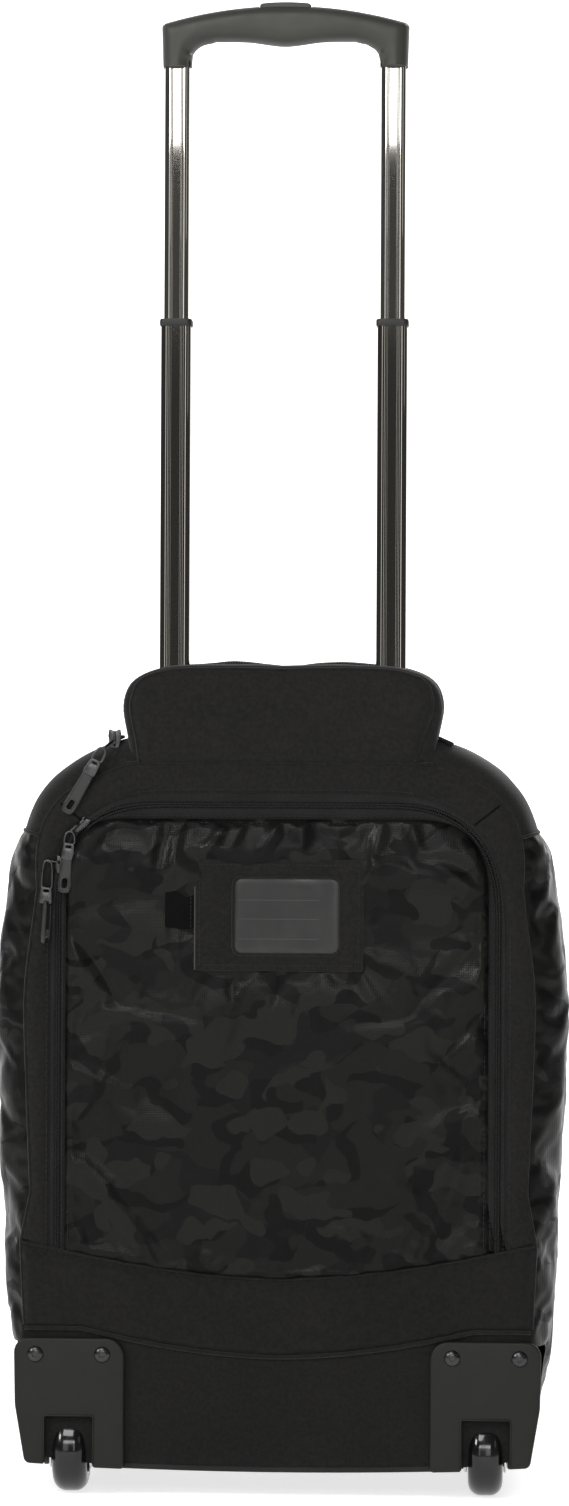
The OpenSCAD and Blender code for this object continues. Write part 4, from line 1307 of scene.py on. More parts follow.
# seam along the hinge at the foot of the cover and the gathered shoulder tabs beside it
base_seam = sweep("cover_base_seam", [(x, SEAM_Y + 0.3, HUMP_FOOT) for x in np.linspace(-94, 94, 50)],
                  1.1, NEO, sides=8)
dress(base_seam, "neoprene", "bag")
for side, label in SIDES:
    tab = plate("zip_end_tab_" + label, rounded(-5.0, 5.0, -8.0, 8.0, 1.5), [], -0.9, 0.9, WEBBING, 0.5, 1.5)
    place(tab, (side * 101.5, -86.0, 463.4), turn_y=side * 0.42, turn_x=math.pi / 2)
    ends = studs("zip_end_stitches_" + label, [(side * 98.5, -93.0, 464.6), (side * 104.5, -93.0, 462.2)],
                 1.6, 1.1, 0.6, 0.5, THREAD, up=(0, 0, 1))
    dress(join("zip_end_" + label, [tab, ends]), "webbing", "bag")

# ------------------------------------------------------------------ identity holder

ID_Y = -106.6
frame_outline = [(-51.5, 322.4), (51.5, 322.0), (51.8, 390.4), (-51.5, 390.8)]
window_hole = rounded(-27.0, 36.2, 333.2, 378.4, 4.0)
id_frame = plate("id_frame", frame_outline, [window_hole], ID_Y - 1.1, ID_Y + 1.0, NEO, 0.55, 2.5)
# a raised cord along the fold; its paler colour is a painted highlight of the fold's edge
fold = sweep("id_frame_fold", [(-51.4, ID_Y - 0.6, z) for z in np.linspace(322.6, 390.6, 30)], 0.6, FOLD_LINE,
             sides=8)
hem = []
for a, b in (((-48.5, 326.0), (48.8, 325.6)), ((48.8, 325.6), (49.0, 387.0)), ((49.0, 387.0), (-48.5, 387.2)),
             ((-48.5, 387.2), (-48.5, 326.0))):
    hem.append(studs("hem", [(a[0], ID_Y - 1.0, a[1]), (b[0], ID_Y - 1.0, b[1])], 2.9, 2.0, 0.45, 0.3,
                     THREAD))
rim_line = sweep("window_rim", [(x, ID_Y - 1.1, z)
                                for x, z in resample(rounded(-28.2, 37.4, 332.0, 379.6, 4.8), 2.0, True)],
                 0.7, NEO, closed=True, sides=6)
frame_all = join("id_holder_frame", [id_frame, fold, rim_line] + hem)
dress(frame_all, "neoprene", "flap", "id_frame")
window = fabric_panel("id_window_sheet", rounded(-28.0, 37.2, 332.4, 379.2, 4.5), [], 2.6, ID_Y - 0.1,
                      0.5, 5.0, VINYL, lambda x, z, d: -0.35 * min(1, d / 4) * ripple(x / 16, z / 30, 51.0))
dress(window, "window", "flap", "id_window")
for k, z in enumerate((365.6, 354.0, 341.8)):
    line = plate("card_line_%d" % k, rounded(-26.0, 25.0, z - 0.22, z + 0.22, 0.1), [], ID_Y - 1.0,
                 ID_Y - 0.55, CARD_LINE, 0.0, 2.0)
    dress(line, "window", "flap")
tab = plate("id_side_tab", rounded(-69.8, -51.9, 348.4, 371.6, 1.2), [], ID_Y - 0.9, ID_Y + 0.8, TAB_CLOTH,
            0.5, 2.0)
tab_stitch = studs("tab_stitch", [(-54.0, ID_Y - 0.8, 349.5), (-54.0, ID_Y - 0.8, 370.5)], 2.4, 1.7,
                   0.45, 0.3, THREAD)
dress(join("id_tab_sewn", [tab, tab_stitch]), "webbing", "flap", "id_tab")

# ------------------------------------------------------------------ wheel housings and wheels


def round_poly(points, radii, n=6):
    """Polygon with each corner rounded to its radius."""
    out = []
    m = len(points)
    for i in range(m):
        p, a, b = Vector(points[i]), Vector(points[i - 1]), Vector(points[(i + 1) % m])
        r = radii[i]
        u, v = (a - p).normalized(), (b - p).normalized()
        if r <= 0.01:
            out.append(tuple(p))
            continue
        half = u.angle(v) / 2
        t = r / math.tan(half)
        c = p + (u + v).normalized() * (r / math.sin(half))
        s, e = p + u * t - c, p + v * t - c
        ang = s.angle(e)
        for k in range(n + 1):
            f = k / n
            q = (s * math.sin((1 - f) * ang) + e * math.sin(f * ang)) / math.sin(ang)
            out.append(tuple(c + q))
    return out


WHEEL_X, AXLE_Y, WHEEL_R = 127.5, -84.5, 25.5
HOUSING_FACE = -108.6


def housing_outline(notch_half, notch_top, grow=0.0):
    pts = [(93.5 - grow, 17.0), (WHEEL_X - notch_half, 17.6), (WHEEL_X - notch_half, notch_top),
           (WHEEL_X + notch_half, notch_top), (WHEEL_X + notch_half, 19.5), (154.5, 20.2),
           (160.6 + grow, 56.0), (161.4 + grow, 97.0 + grow), (93.5 - grow, 97.0 + grow)]
    return round_poly(pts, [2.0, 0.8, 0.8, 0.8, 0.8, 4.0, 30.0, 9.0, 11.0])


for side, label in SIDES:
    front = plate("front", housing_outline(14.6, 49.0), [], HOUSING_FACE, -103.8, MOULD, 1.5, 1.2, 3)
    shell_part = plate("shell", housing_outline(15.6, 55.5, -1.2), [], -104.2, -58.0, MOULD, 0.9, 1.6, 2)
    back = plate("back", round_poly([(95.0, 30.0), (157.5, 30.0), (160.0, 95.5), (95.0, 95.5)], [3, 3, 5, 5]),
                 [], -58.2, -56.0, MOULD, 0.6, 2.0)
    # raised lip round the slot and bosses beside the wheel
    edge = [(WHEEL_X + dx, -108.2, z) for dx, z in ((-15.2, 20), (-15.2, 49.6), (15.2, 49.6), (15.2, 22))]
    lip = sweep("lip", edge, 0.8, MOULD, sides=6)
    parts = [front, shell_part, back, lip]
    for sgn in (-1, 1):
        boss = lathe("boss", [(-1.4, 0.01), (-1.4, 8.6), (-0.6, 9.6), (1.6, 9.6), (1.6, 0.01)],
                     (WHEEL_X + sgn * 14.9, AXLE_Y, WHEEL_R), MOULD, 40)
        parts.append(boss)
    whole = join("wheel_housing_" + label, parts)
    if side < 0:
        whole.data.transform(Matrix.Diagonal((-1, 1, 1, 1)))
        whole.data.flip_normals()
    dress(whole, "moulded", "bag", "housing_" + label)

rivets = []
for x in (-WHEEL_X - 20.5, -WHEEL_X + 20.5, WHEEL_X - 20.5, WHEEL_X + 20.5):
    dome = lathe("dome", [(-0.6, 4.9), (0.3, 4.9), (0.9, 4.4), (1.7, 3.2), (2.1, 2.0), (2.1, 1.75),
                          (1.2, 1.55), (1.1, 0.01)], (0, 0, 0), RIVET, 40)
    place(dome, (x, HOUSING_FACE, 87.0), turn_z=-math.pi / 2)
    rivets.append(dome)
dress(join("housing_rivet_heads", rivets), "rivet_steel", "bag", "housing_rivets")

TREAD_HALF, TREAD_ROUND = 10.75, 8.0       # half width of the tread and the radius of its shoulders
HUB_HALF = [(9.0, 14.0), (9.0, 11.4), (7.6, 10.8), (7.6, 8.4), (10.6, 8.0), (12.6, 7.2), (13.3, 6.6),
            (13.4, 3.1)]
for side, label in SIDES:
    c = (side * WHEEL_X, AXLE_Y, WHEEL_R)
    edge = [(TREAD_HALF - TREAD_ROUND + TREAD_ROUND * math.cos(a), WHEEL_R - TREAD_ROUND
             + TREAD_ROUND * math.sin(a)) for a in np.linspace(0.0, math.pi / 2, 9)]
    half = [(9.4, 13.8), (10.3, 14.6)] + edge
    prof = half + [(-x, r) for x, r in half[::-1]] + half[:1]
    tread = lathe("tread_" + label, prof, c, TREAD, 96)
    dress(tread, "tread", "wheel_" + label, "wheel_%s_tread" % label)
    hub = lathe("hub_core", HUB_HALF + [(-x, r) for x, r in HUB_HALF[::-1]] + HUB_HALF[:1], c, HUB, 72)
    spokes = []
    for sgn in (-1, 1):
        for k in range(6):
            a = k * math.pi / 3
            sp = plate("spoke", rounded(-1.1, 1.1, 7.6, 12.6, 0.5), [], -0.9, 0.9, HUB, 0.3, 1.0)
            sp.data.transform(Matrix.Rotation(math.pi / 2, 4, "Z"))
            sp.data.transform(Matrix.Rotation(a, 4, "X"))
            place(sp, (c[0] + sgn * 8.2, c[1], c[2]))
            spokes.append(sp)
    washers = []
    for sgn in (-1, 1):
        washers.append(lathe("washer", [(-0.35, 3.1), (-0.35, 6.2), (0.35, 6.2), (0.35, 3.1), (-0.35, 3.1)],
                             (c[0] + sgn * 13.75, c[1], c[2]), STEEL, 40))
        washers.append(lathe("flange", [(-0.9, 7.4), (-0.9, 11.0), (-0.4, 11.6), (0.4, 11.6), (0.9, 11.0),
                                        (0.9, 7.4), (-0.9, 7.4)], (c[0] + sgn * 12.2, c[1], c[2]), STEEL, 64))
    whole = join("wheel_hub_" + label, [hub] + spokes + washers)
    dress(whole, "moulded", "wheel_" + label, "wheel_%s_hub" % label)

# ------------------------------------------------------------------ trolley handle

TUBE_X, TUBE_Y = 67.0, -69.0


def tube_section(w, d, belly=0.5):
    """Slightly bowed faces with two flutes down each broad face."""
    a, b, r = w / 2, d / 2, 3.2
    flute = w / 5

    def face(x):
        y = b - belly * (x / a) ** 2 + belly * 0.4
        for f in (-flute, flute):
            t = abs(x - f)
            if t < 1.0:
                y -= 0.45 * math.cos(t * math.pi / 2) ** 2
        return min(y, b)
    top = [(x, face(x)) for x in np.linspace(-a + r, a - r, 41)]
    corner = [(a - r + r * math.sin(t), face(a - r) - r + r * math.cos(t))
              for t in np.linspace(0, math.pi / 2, 7)[1:]]
    upper = [(-x, y) for x, y in corner[::-1]] + top + corner
    return upper + [(x, -y) for x, y in upper[::-1]]


def extruded(name, section, z0, z1, cx, material, wall=1.2):
    """A tube along Z: outer skin, top lip and a short inner skin."""
    rows = []
    for x, y in section:
        k = 1 - wall / math.hypot(x, y)
        skin = ((k, z0), (0.995, z0), (1, z0 + 0.4), (1, (z0 + z1) / 2), (1, z1 - 0.4), (0.995, z1),
                (k, z1), (k, z0))
        rows.append([(cx + x * f, TUBE_Y + y * f, z) for f, z in skin])
    ob = grid_mesh(name, rows, material, close_u=True)
    smooth_by_angle(ob, 50)
    return ob


TUBES = (("trolley_inner_tube", 15.4, 12.0, 661.0, 890.0, TUBE_IN, "inner_tube", "handle_upper",
          "inner_tubes"),
         ("trolley_middle_tube", 18.6, 15.2, 410.0, 721.0, TUBE_MID, "middle_tube", "handle_lower",
          "middle_tubes"))
for name, w, d, z0, z1, mat, slot_name, body, node_name in TUBES:
    pair = [extruded("t", tube_section(w, d), z0, z1, s * TUBE_X, mat) for s in (-1, 1)]
    dress(join(name + "s", pair), slot_name, body, node_name)

collars = []
for s in (-1, 1):
    ring = []
    for x, y in rounded(-10.1, 10.1, -8.4, 8.4, 3.6, 8):
        sx, sy = 1 - 2.1 / 10.1, 1 - 2.1 / 8.4
        skin = ((0.955, 0.945, 719.6), (1, 1, 720.2), (1, 1, 723.0), (0.95, 0.94, 724.0), (sx, sy, 724.2),
                (sx, sy, 720.0))
        ring.append([(s * TUBE_X + x * fx, TUBE_Y + y * fy, z) for fx, fy, z in skin])
    c = grid_mesh("collar", ring, BLACK_PLASTIC, close_u=True)
    smooth_by_angle(c, 40)
    collars.append(c)
dress(join("trolley_collars", collars), "black_plastic", "handle_lower", "middle_collars")


def cut(ob, boxes):
    """Hollow an object out with boxes (mm)."""
    bm = bmesh.new()
    for x0, x1, y0, y1, z0, z1 in boxes:
        middle = Matrix.Translation(((x0 + x1) / 2 * MM, (y0 + y1) / 2 * MM, (z0 + z1) / 2 * MM))
        size = Matrix.Diagonal(((x1 - x0) * MM, (y1 - y0) * MM, (z1 - z0) * MM, 1))
        bmesh.ops.create_cube(bm, size=1.0, matrix=middle @ size)
    cutter = from_bmesh("cutter", bm)
    modify(ob, "BOOLEAN", operation="DIFFERENCE", object=cutter, solver="EXACT", use_self=True)
    bake(ob)
    bpy.data.objects.remove(cutter)
    return ob


GRIP_LIFT = 2.2          # the moulded cap stands this much above the plain one
GRIP_SIDES = [(75.4, 860.0), (76.75, 904.0), (300, 904), (300, 1200), (-300, 1200), (-300, 904),
              (-76.75, 904.0), (-75.4, 860.0), (-300, 860), (-300, 600), (-59.0, 600), (-58.9, 881),
              (-50, 893), (50, 893), (58.9, 881), (59.0, 600), (300, 600), (300, 860)]


def grip_outline():
    """Front view of the moulded grip, swept up to its crown."""
    hw, top, crown = 76.75, 916.0, 265.0
    crest = [(x, top - crown + math.sqrt(crown ** 2 - x * x)) for x in np.linspace(hw - 1.2, -hw + 1.2, 50)]
    z_end = crest[0][1]
    right = [(75.4, 866.0), (hw, z_end - 2.0), (hw - 0.4, z_end - 0.6)]
    left = [(-hw + 0.4, z_end - 0.6), (-hw, z_end - 2.0), (-75.4, 866.0)]
    under = []
    for k in range(13):
        a = math.pi / 2 * k / 12
        under.append((-58.6 + 13.0 * (1 - math.cos(a)), 881.5 + 11.6 * math.sin(a)))
    sag = [(x, 893.1 + 0.9 * min(1, abs(x) / 30) - 2.1 * math.cos(min(1.0, abs(x) / 26) * math.pi / 2) ** 2)
           for x in np.linspace(-44, 44, 40)]
    inner_right = [(-x, z) for x, z in under[::-1]] + [(58.9, 866.0)]
    return right + crest + left + [(-58.9, 866.0)] + under + sag + inner_right


def grip_half(sign):
    """Front or back half of the grip, swelling from its outline."""
    v, tris, d = flat_triangles(grip_outline(), [], 2.4, (0.12, 0.45, 1.1, 2.2))
    leg = border_distance(v, [GRIP_SIDES])
    d = np.where(v[:, 1] < 886, np.minimum(leg, 9.0), d)
    y = 12.5 * rolled(d, 9.0) ** 0.9
    ob = mesh_obj("half", [(a_, TUBE_Y + sign * c_, b_) for (a_, b_), c_ in zip(v, y)], tris, GRIP_MAT)
    flip_towards(ob, (0, sign, 0))
    return ob


def close_holes(ob):
    """Weld, cap every open edge loop and face the whole skin outwards."""
    bm = bmesh.new()
    bm.from_mesh(ob.data)
    bmesh.ops.remove_doubles(bm, verts=bm.verts, dist=0.00003)
    bmesh.ops.holes_fill(bm, edges=[e for e in bm.edges if e.is_boundary], sides=0)
    bmesh.ops.recalc_face_normals(bm, faces=bm.faces)
    if bm.calc_volume(signed=True) < 0:
        bmesh.ops.reverse_faces(bm, faces=bm.faces)
    bm.to_mesh(ob.data)
    bm.free()


grip = join("grip_shell", [grip_half(-1), grip_half(1)])
close_holes(grip)
cut(grip, [(-90, 90, TUBE_Y - 30, TUBE_Y + 30, 840.0, 878.0)])
cut(grip, [(s * TUBE_X - 7.75, s * TUBE_X + 7.75, TUBE_Y - 6.05, TUBE_Y + 6.05, 870.0, 890.0)
           for s in (-1, 1)] + [(-16.5, 16.5, TUBE_Y - 6.9, TUBE_Y + 6.9, 897.0, 930.0)])
grip.data.transform(Matrix.Translation((0, 0, GRIP_LIFT * MM)))
smooth_by_angle(grip, 30)
dress(grip, "grip_plastic", "handle_upper", "grip")

button_top = 917.7 + GRIP_LIFT
BUTTON_HALF = 15.9
outline = [(-BUTTON_HALF, 905.5), (BUTTON_HALF, 905.5)]
for x in np.linspace(BUTTON_HALF, -BUTTON_HALF, 24):
    outline.append((x, button_top - 0.9 * (x / BUTTON_HALF) ** 2 - (0.9 if abs(x) > 15.6 else 0)))
button = plate("release_button_top", outline, [], TUBE_Y - 6.4, TUBE_Y + 6.4, BUTTON_MAT, 0.8, 1.2, 3)
ribs = studs("button_ribs", [(-11.0, TUBE_Y, button_top - 0.35), (11.5, TUBE_Y, button_top - 0.35)],
             2.4, 0.9, 8.5, 0.5, BUTTON_MAT, up=(0, 0, 1))
dress(join("release_button_cap", [button, ribs]), "black_plastic", "button", "release_button")

# ------------------------------------------------------------------ zip sliders and pulls


def slider(name, at, turn_y=0.0, turn_z=0.0, t=4.4):
    """A die-cast slider 8 x 13, its tape side at y = 0, front towards -Y."""
    shield = [(-4.0, 1.5), (-2.6, -5.8), (2.6, -5.8), (4.0, 1.5), (3.4, 6.2), (0.9, 4.6), (-0.9, 4.6),
              (-3.4, 6.2)]
    shield = round_poly(shield, [1.6, 1.4, 1.4, 1.6, 0.8, 0.5, 0.5, 0.8])
    low = plate("low", shield, [], -1.0, 0.0, SLIDER, 0.3, 0.6)
    high = plate("high", shield, [], -t * 0.62, -t * 0.62 + 1.1, SLIDER, 0.35, 0.6)
    post = plate("post", rounded(-0.9, 0.9, 0.4, 4.2, 0.4), [], -t * 0.6, -0.4, SLIDER, 0.2, 0.6)
    arch = [(0, -t * 0.6, -4.4), (0, -t * 0.92, -3.2), (0, -t + 0.1, -0.6), (0, -t + 0.1, 1.4),
            (0, -t * 0.92, 3.0), (0, -t * 0.6, 3.9)]
    crown = sweep("crown", smooth_curve(arch, 4), 0.75, SLIDER, sides=8, up=(1, 0, 0))
    ob = join(name, [low, high, post, crown])
    return place(ob, at, turn_y=turn_y, turn_z=turn_z)


def pull(body, at, lean, link, tab_len, cad, turn=0.0):
    """Wire link and rubberised tab hanging from a point."""
    hook = [(-3.0, -0.9, -link + 0.6), (-3.1, -0.9, -link * 0.5), (-2.3, -0.9, -0.4), (0, -0.9, 1.0),
            (2.3, -0.9, -0.4), (3.1, -0.9, -link * 0.5), (3.0, -0.9, -link + 0.6), (0, -0.9, -link + 0.1)]
    wire = sweep(body + "_wire", resample(smooth_curve(hook + [hook[0]], 5), 0.8)[:-1], 0.72, SLIDER,
                 closed=True, sides=8)
    # metal ferrule that grips the tab
    ferrule = plate("ferrule", round_poly([(-4.1, -link - 9.5), (4.1, -link - 9.5), (3.4, -link + 0.4),
                                           (-3.4, -link + 0.4)], [1.2, 1.2, 1.4, 1.4]),
                    [rounded(-1.7, 1.7, -link - 2.4, -link - 0.8, 0.6)], -2.5, 0.1, SLIDER, 0.5, 0.8)
    link_ob = join(body + "_link", [wire, ferrule])
    foot = -link - tab_len
    shape = round_poly([(-3.5, -link - 8.0), (-4.25, foot + 6.0), (-3.6, foot), (3.6, foot),
                        (4.25, foot + 6.0), (3.5, -link - 8.0)], [0.8, 6.0, 2.8, 2.8, 6.0, 0.8])
    hole = rounded(-1.35, 1.35, foot + 3.2, foot + 9.0, 1.2)
    strip = plate("body", shape, [hole], -2.3, -0.1, RUBBER_PULL, 0.7, 0.8, 3)
    slot_edge = resample(rounded(-1.9, 1.9, foot + 2.7, foot + 9.5, 1.7), 0.6, True)
    inner_ring = sweep("ring", [(x, -2.3, z) for x, z in slot_edge], 0.35, RUBBER_PULL, closed=True, sides=6)
    rim_pts = round_poly([(-2.8, -link - 10.0), (-3.3, foot + 6.0), (-2.8, foot + 1.2), (2.8, foot + 1.2),
                          (3.3, foot + 6.0), (2.8, -link - 10.0)], [0.6, 5.0, 2.0, 2.0, 5.0, 0.6])
    rim_ring = sweep("rim", [(x, -2.25, z) for x, z in resample(rim_pts, 0.8, True)], 0.4, RUBBER_PULL,
                     closed=True, sides=6)
    tab_ob = join(body + "_tab", [strip, inner_ring, rim_ring])
    if turn:
        place(tab_ob, (0, -2.2, 0), turn_z=turn)
    for ob in (link_ob, tab_ob):
        place(ob, at, turn_y=lean)
    dress(link_ob, "slider_metal", body, cad + "_link")
    dress(tab_ob, "pull_rubber", body, cad + "_tab")


def zip_slider(prefix, cad_slider, cad_pull, at, thick, hang, lean, link, tab_len, loop_name, loop, wire,
               turn_y=0.0, turn=0.0):
    """A slider, the pull that hangs from it and the wire loop between them."""
    metal_part = slider(prefix + "_slider_metal", at, turn_y=turn_y, t=thick)
    dress(metal_part, "slider_metal", prefix + "_slider", cad_slider)
    pull(prefix + "_pull", hang, math.radians(lean), link, tab_len, cad_pull, math.radians(turn))
    dress(sweep(loop_name, loop, wire, SLIDER, sides=8), "slider_metal", prefix + "_slider")


ARC = math.radians(45)
ARC_X, ARC_Z, ARC_R = -94.0, 383.5, 40.0     # centre and radius of the zip's left corner
COVER_LOOP = [(-102.4, -96.2, 463.0), (-104.0, -100.5, 461.5), (-106.8, -104.8, 459.0),
              (-108.4, -106.4, 457.6)]
UPPER_LOOP = [(-122.3, -105.2, 412.2), (-124.6, -106.6, 410.0), (-127.2, -107.8, 407.6),
              (-128.2, -108.2, 406.2)]
LOWER_LOOP = [(-134.2, -105.2, 387.4), (-136.2, -105.9, 388.2), (-139.2, -106.3, 388.6),
              (-141.9, -106.4, 388.2)]
zip_slider("cover_zip", "cover_slider", "cover_pull", (-102.2, -91.0, 464.0), 6.0,
           (-108.5, -105.5, 457.0), 30, 8.0, 37.0, "cover_pull_hanger", COVER_LOOP, 0.8)
zip_slider("pocket_upper", "pocket_slider_upper", "pocket_pull_upper",
           (ARC_X - ARC_R * math.cos(ARC), -101.4, ARC_Z + ARC_R * math.sin(ARC)), 4.0,
           (-128.0, -107.4, 406.0), 6, 7.0, 30.0, "upper_pull_hanger", UPPER_LOOP, 0.75, turn_y=ARC)
zip_slider("pocket_lower", "pocket_slider_lower", "pocket_pull_lower", (-134.0, -101.4, 387.0), 4.0,
           (-141.8, -105.6, 388.0), 3, 16.0, 34.0, "lower_pull_hanger", LOWER_LOOP, 0.75, turn=68)

# ------------------------------------------------------------------ front of the bag


def front_side(ob):
    """Turn a panel drawn for the wheel side to face the front."""
    ob.data.transform(Matrix.Diagonal((1, -1, 1, 1)))
    ob.data.flip_normals()
    return ob


def zip_line(i, d):
    """Contour point i drawn in by d."""
    return tuple(CONTOUR[i] - NORMAL[i] * d)


def zip_edge(stations, d, y):
    return [(zip_line(i, d)[0], y, zip_line(i, d)[1]) for i in stations]


above = [i for i in range(N_LOOP) if CONTOUR[i][1] >= 45]
gap = next((k for k in range(1, len(above)) if above[k] != above[k - 1] + 1), 0)
zip_run = above[gap:] + above[:gap]
tape_bag = ribbon("main_zip_tape_bag", zip_edge(zip_run, 3.4, 71.6), zip_edge(zip_run, 4.6, 76.6), TAPE)
tape_door = ribbon("main_zip_tape_door", zip_edge(zip_run, 4.6, 77.4), zip_edge(zip_run, 3.0, 82.4), TAPE)


MAIN_PITCH = 2.0         # of the main zip's teeth


def outward_studs(name, idx, y, d, start):
    """Teeth round the contour, pointing outwards."""
    verts, faces = [], []
    pts = np.array([zip_line(i, d) for i in idx])
    nrm = np.array([NORMAL[i] for i in idx])
    seg = np.concatenate([[0], np.cumsum(np.linalg.norm(np.diff(pts, axis=0), axis=1))])
    for run in np.arange(start, seg[-1], MAIN_PITCH):
        p = [np.interp(run, seg, pts[:, k]) for k in (0, 1)]
        n = [np.interp(run, seg, nrm[:, k]) for k in (0, 1)]
        tx, tz = -n[1], n[0]
        faces += block_faces(len(verts), 2)
        for lift, f in ((0.0, 1.0), (1.3, 0.7)):
            for a, b in SQUARE:
                shift = a * f * 0.55
                at = (p[0] + n[0] * lift + tx * shift, y + b * f * 1.3, p[1] + n[1] * lift + tz * shift)
                verts.append(at)
    return mesh_obj(name, verts, faces, COIL)


coil_bag = outward_studs("coil_bag", zip_run, 76.0, 4.7, 0.0)
coil_door = outward_studs("coil_door", zip_run, 78.0, 4.7, 1.0)
dress(join("main_zip_bag_half", [tape_bag, coil_bag]), "zip_tape", "bag", "main_zip")
dress(join("main_zip_door_half", [tape_door, coil_door]), "zip_tape", "door")
for y, d, label, body in ((71.4, 2.9, "bag", "bag"), (83.0, 2.2, "door", "door")):
    loop = zip_edge(range(N_LOOP), d, y)
    dress(sweep("main_edge_piping_" + label, loop, 1.9, WEBBING, closed=True, sides=8), "webbing", body)

DOOR_LOOP = [zip_line(i, 2.4) for i in range(0, N_LOOP, 2)]


def door_wave(x, z, d):
    k = min(1.0, d / 14.0)
    return -k * (0.9 * ripple(x / 60, z / 60, 61.0) + 0.6 * ripple(x / 24, z / 28, 62.0))


door = front_side(fabric_panel("front_door_camo", DOOR_LOOP, [], 5.0, -83.6, 6.4, 18.0, CAMO, door_wave,
                               subdiv=True))
dress(door, "camo_fabric", "door", "front_door")
door_lining = fabric_panel("front_door_lining", DOOR_LOOP, [], 8.0, 83.2, 0.9, 18.0, LINING)
dress(door_lining, "lining", "door")

slip = round_poly([(-134, 64), (134, 64), (134, 328), (-134, 328)], [18, 18, 4, 4])


def slip_wave(x, z, d):
    k = min(1.0, d / 12.0)
    sag = 2.2 * math.exp(-((z - 120) / 70.0) ** 2)
    return -k * (sag + 0.9 * ripple(x / 52, z / 44, 71.0) + 0.6 * ripple(x / 18, z / 26, 72.0))


slip_face = front_side(fabric_panel("front_pocket_face", slip, [], 4.5, -104.4, 3.0, 12.0, CAMO, slip_wave,
                                    subdiv=True))
cloth(slip_face, pinned_borders(slip_face), 10, 1.2, 0.02, 2.5)
dress(slip_face, "camo_fabric", "door", "front_pocket")
side_path = [p for p in resample(round_poly([(-134, 330), (-134, 64), (134, 64), (134, 330)], [0, 18, 18, 0]),
                                 4.0, True) if not (p[1] > 326 and abs(p[0]) < 133)]
cut_at = max(range(len(side_path)),
             key=lambda k: np.linalg.norm(np.array(side_path[k]) - np.array(side_path[k - 1])))
side_path = side_path[cut_at:] + side_path[:cut_at]
rows = []
for x, z in side_path:
    row = []
    for y in np.linspace(89.0, 104.6, 9):
        t = (y - 89.0) / 15.6
        pleat = 1.6 * math.sin(math.pi * t)
        cx = -x / max(abs(x), 60)
        row.append((x + cx * pleat * (1 if abs(x) > 125 else 0.2), y, z + (pleat if z < 80 else 0)))
    rows.append(row)
bellows = grid_mesh("front_pocket_bellows", rows, BOTTOM)
dress(bellows, "webbing", "door")
slip_inner = fabric_panel("front_pocket_inner", slip, [], 8.0, 102.6, 0.4, 12.0, LINING)
dress(slip_inner, "lining", "door")
hem_path = [(x, 104.2, 328.0 + 0.6 * math.sin(x / 30)) for x in np.linspace(-134, 134, 60)]
hem_ob = sweep("front_pocket_hem", hem_path, 2.0, WEBBING, sides=10, flat=0.7)
dress(hem_ob, "webbing", "door")

# main zip sliders and their pulls
SIDE_ZIP_X = 166.5       # the coil on the straight side
ZIP_Y = 77.0             # middle of the main zip
s = slider("main_side_slider_metal", (-SIDE_ZIP_X, ZIP_Y, 372.0), turn_z=-math.pi / 2, t=3.4)
dress(s, "slider_metal", "main_side_slider", "main_slider_side")
m_pull = plate("main_side_pull_tab", rounded(-3, 3, -26, 0, 2), [rounded(-1.2, 1.2, -4.5, -1.6, 1)],
               -2.4, -0.2, SLIDER, 0.5, 0.8)
place(m_pull, (-SIDE_ZIP_X - 0.8, ZIP_Y, 364.0), turn_z=-math.pi / 2)
dress(m_pull, "slider_metal", "main_side_pull", "main_pull_side")


def lay_on_top(ob):
    """Turn a slider or pull so that it lies along the top of the bag."""
    ob.data.transform(Matrix.Rotation(-math.pi / 2, 4, "Y"))
    ob.data.transform(Matrix.Rotation(-math.pi / 2, 4, "X"))
    ob.data.transform(Matrix.Translation(Vector((-46.0, ZIP_Y, 467.0 - 3.6)) * MM))
    return ob


dress(lay_on_top(slider("main_top_slider_metal", (0, 0, 0), t=3.4)), "slider_metal", "main_top_slider",
      "main_slider_top")
t_pull = plate("main_top_pull_tab", rounded(-3, 3, -34, -8, 2), [rounded(-1.2, 1.2, -12.5, -9.6, 1)],
               -3.2, -1.0, SLIDER, 0.5, 0.8)
dress(lay_on_top(t_pull), "slider_metal", "main_top_pull", "main_pull_top")

# grab handle: folded webbing with a padded middle
GRAB_Y = 17
GRAB_HALF = [(0, 495.6), (34, 495.0), (52, 491.6), (60.5, 482.0), (62.5, 472.5), (66, 468.6), (78, 468.6)]
grab_line = [(-x, z) for x, z in GRAB_HALF[:0:-1]] + GRAB_HALF
grab = smooth_curve([(x, GRAB_Y, z) for x, z in grab_line], 8)
strap = []
for k, (x, y, z) in enumerate(grab):
    t = grab[min(k + 1, len(grab) - 1)] - grab[max(k - 1, 0)]
    t = t / np.linalg.norm(t)
    nx, nz = -t[2], t[0]
    pad = 1.3 + 1.2 * math.exp(-(x / 34.0) ** 4)
    half = 15.0 - 2.0 * math.exp(-(x / 34.0) ** 4)
    ring = []
    for j in range(20):
        a = 2 * math.pi * j / 20
        c, d = math.cos(a), math.sin(a)
        yy = half * math.copysign(abs(c) ** 0.35, c)
        hh = pad * math.copysign(abs(d) ** 0.7, d)
        ring.append((x + nx * hh, GRAB_Y + yy, z + nz * hh))
    strap.append(ring + [ring[0]])
grab_ob = grid_mesh("grab_strap", strap, WEBBING)
marks = []
for sgn in (-1, 1):
    for x0 in (53.0, 76.0):
        marks.append(studs("bar", [(sgn * x0, 4, 470.0), (sgn * x0, 30, 470.0)], 2.0, 1.4, 0.9, 0.5,
                           THREAD, up=(0, 0, 1)))
grab_all = join("grab_handle_webbing", [grab_ob] + marks)
dress(grab_all, "webbing", "bag", "grab_handle")

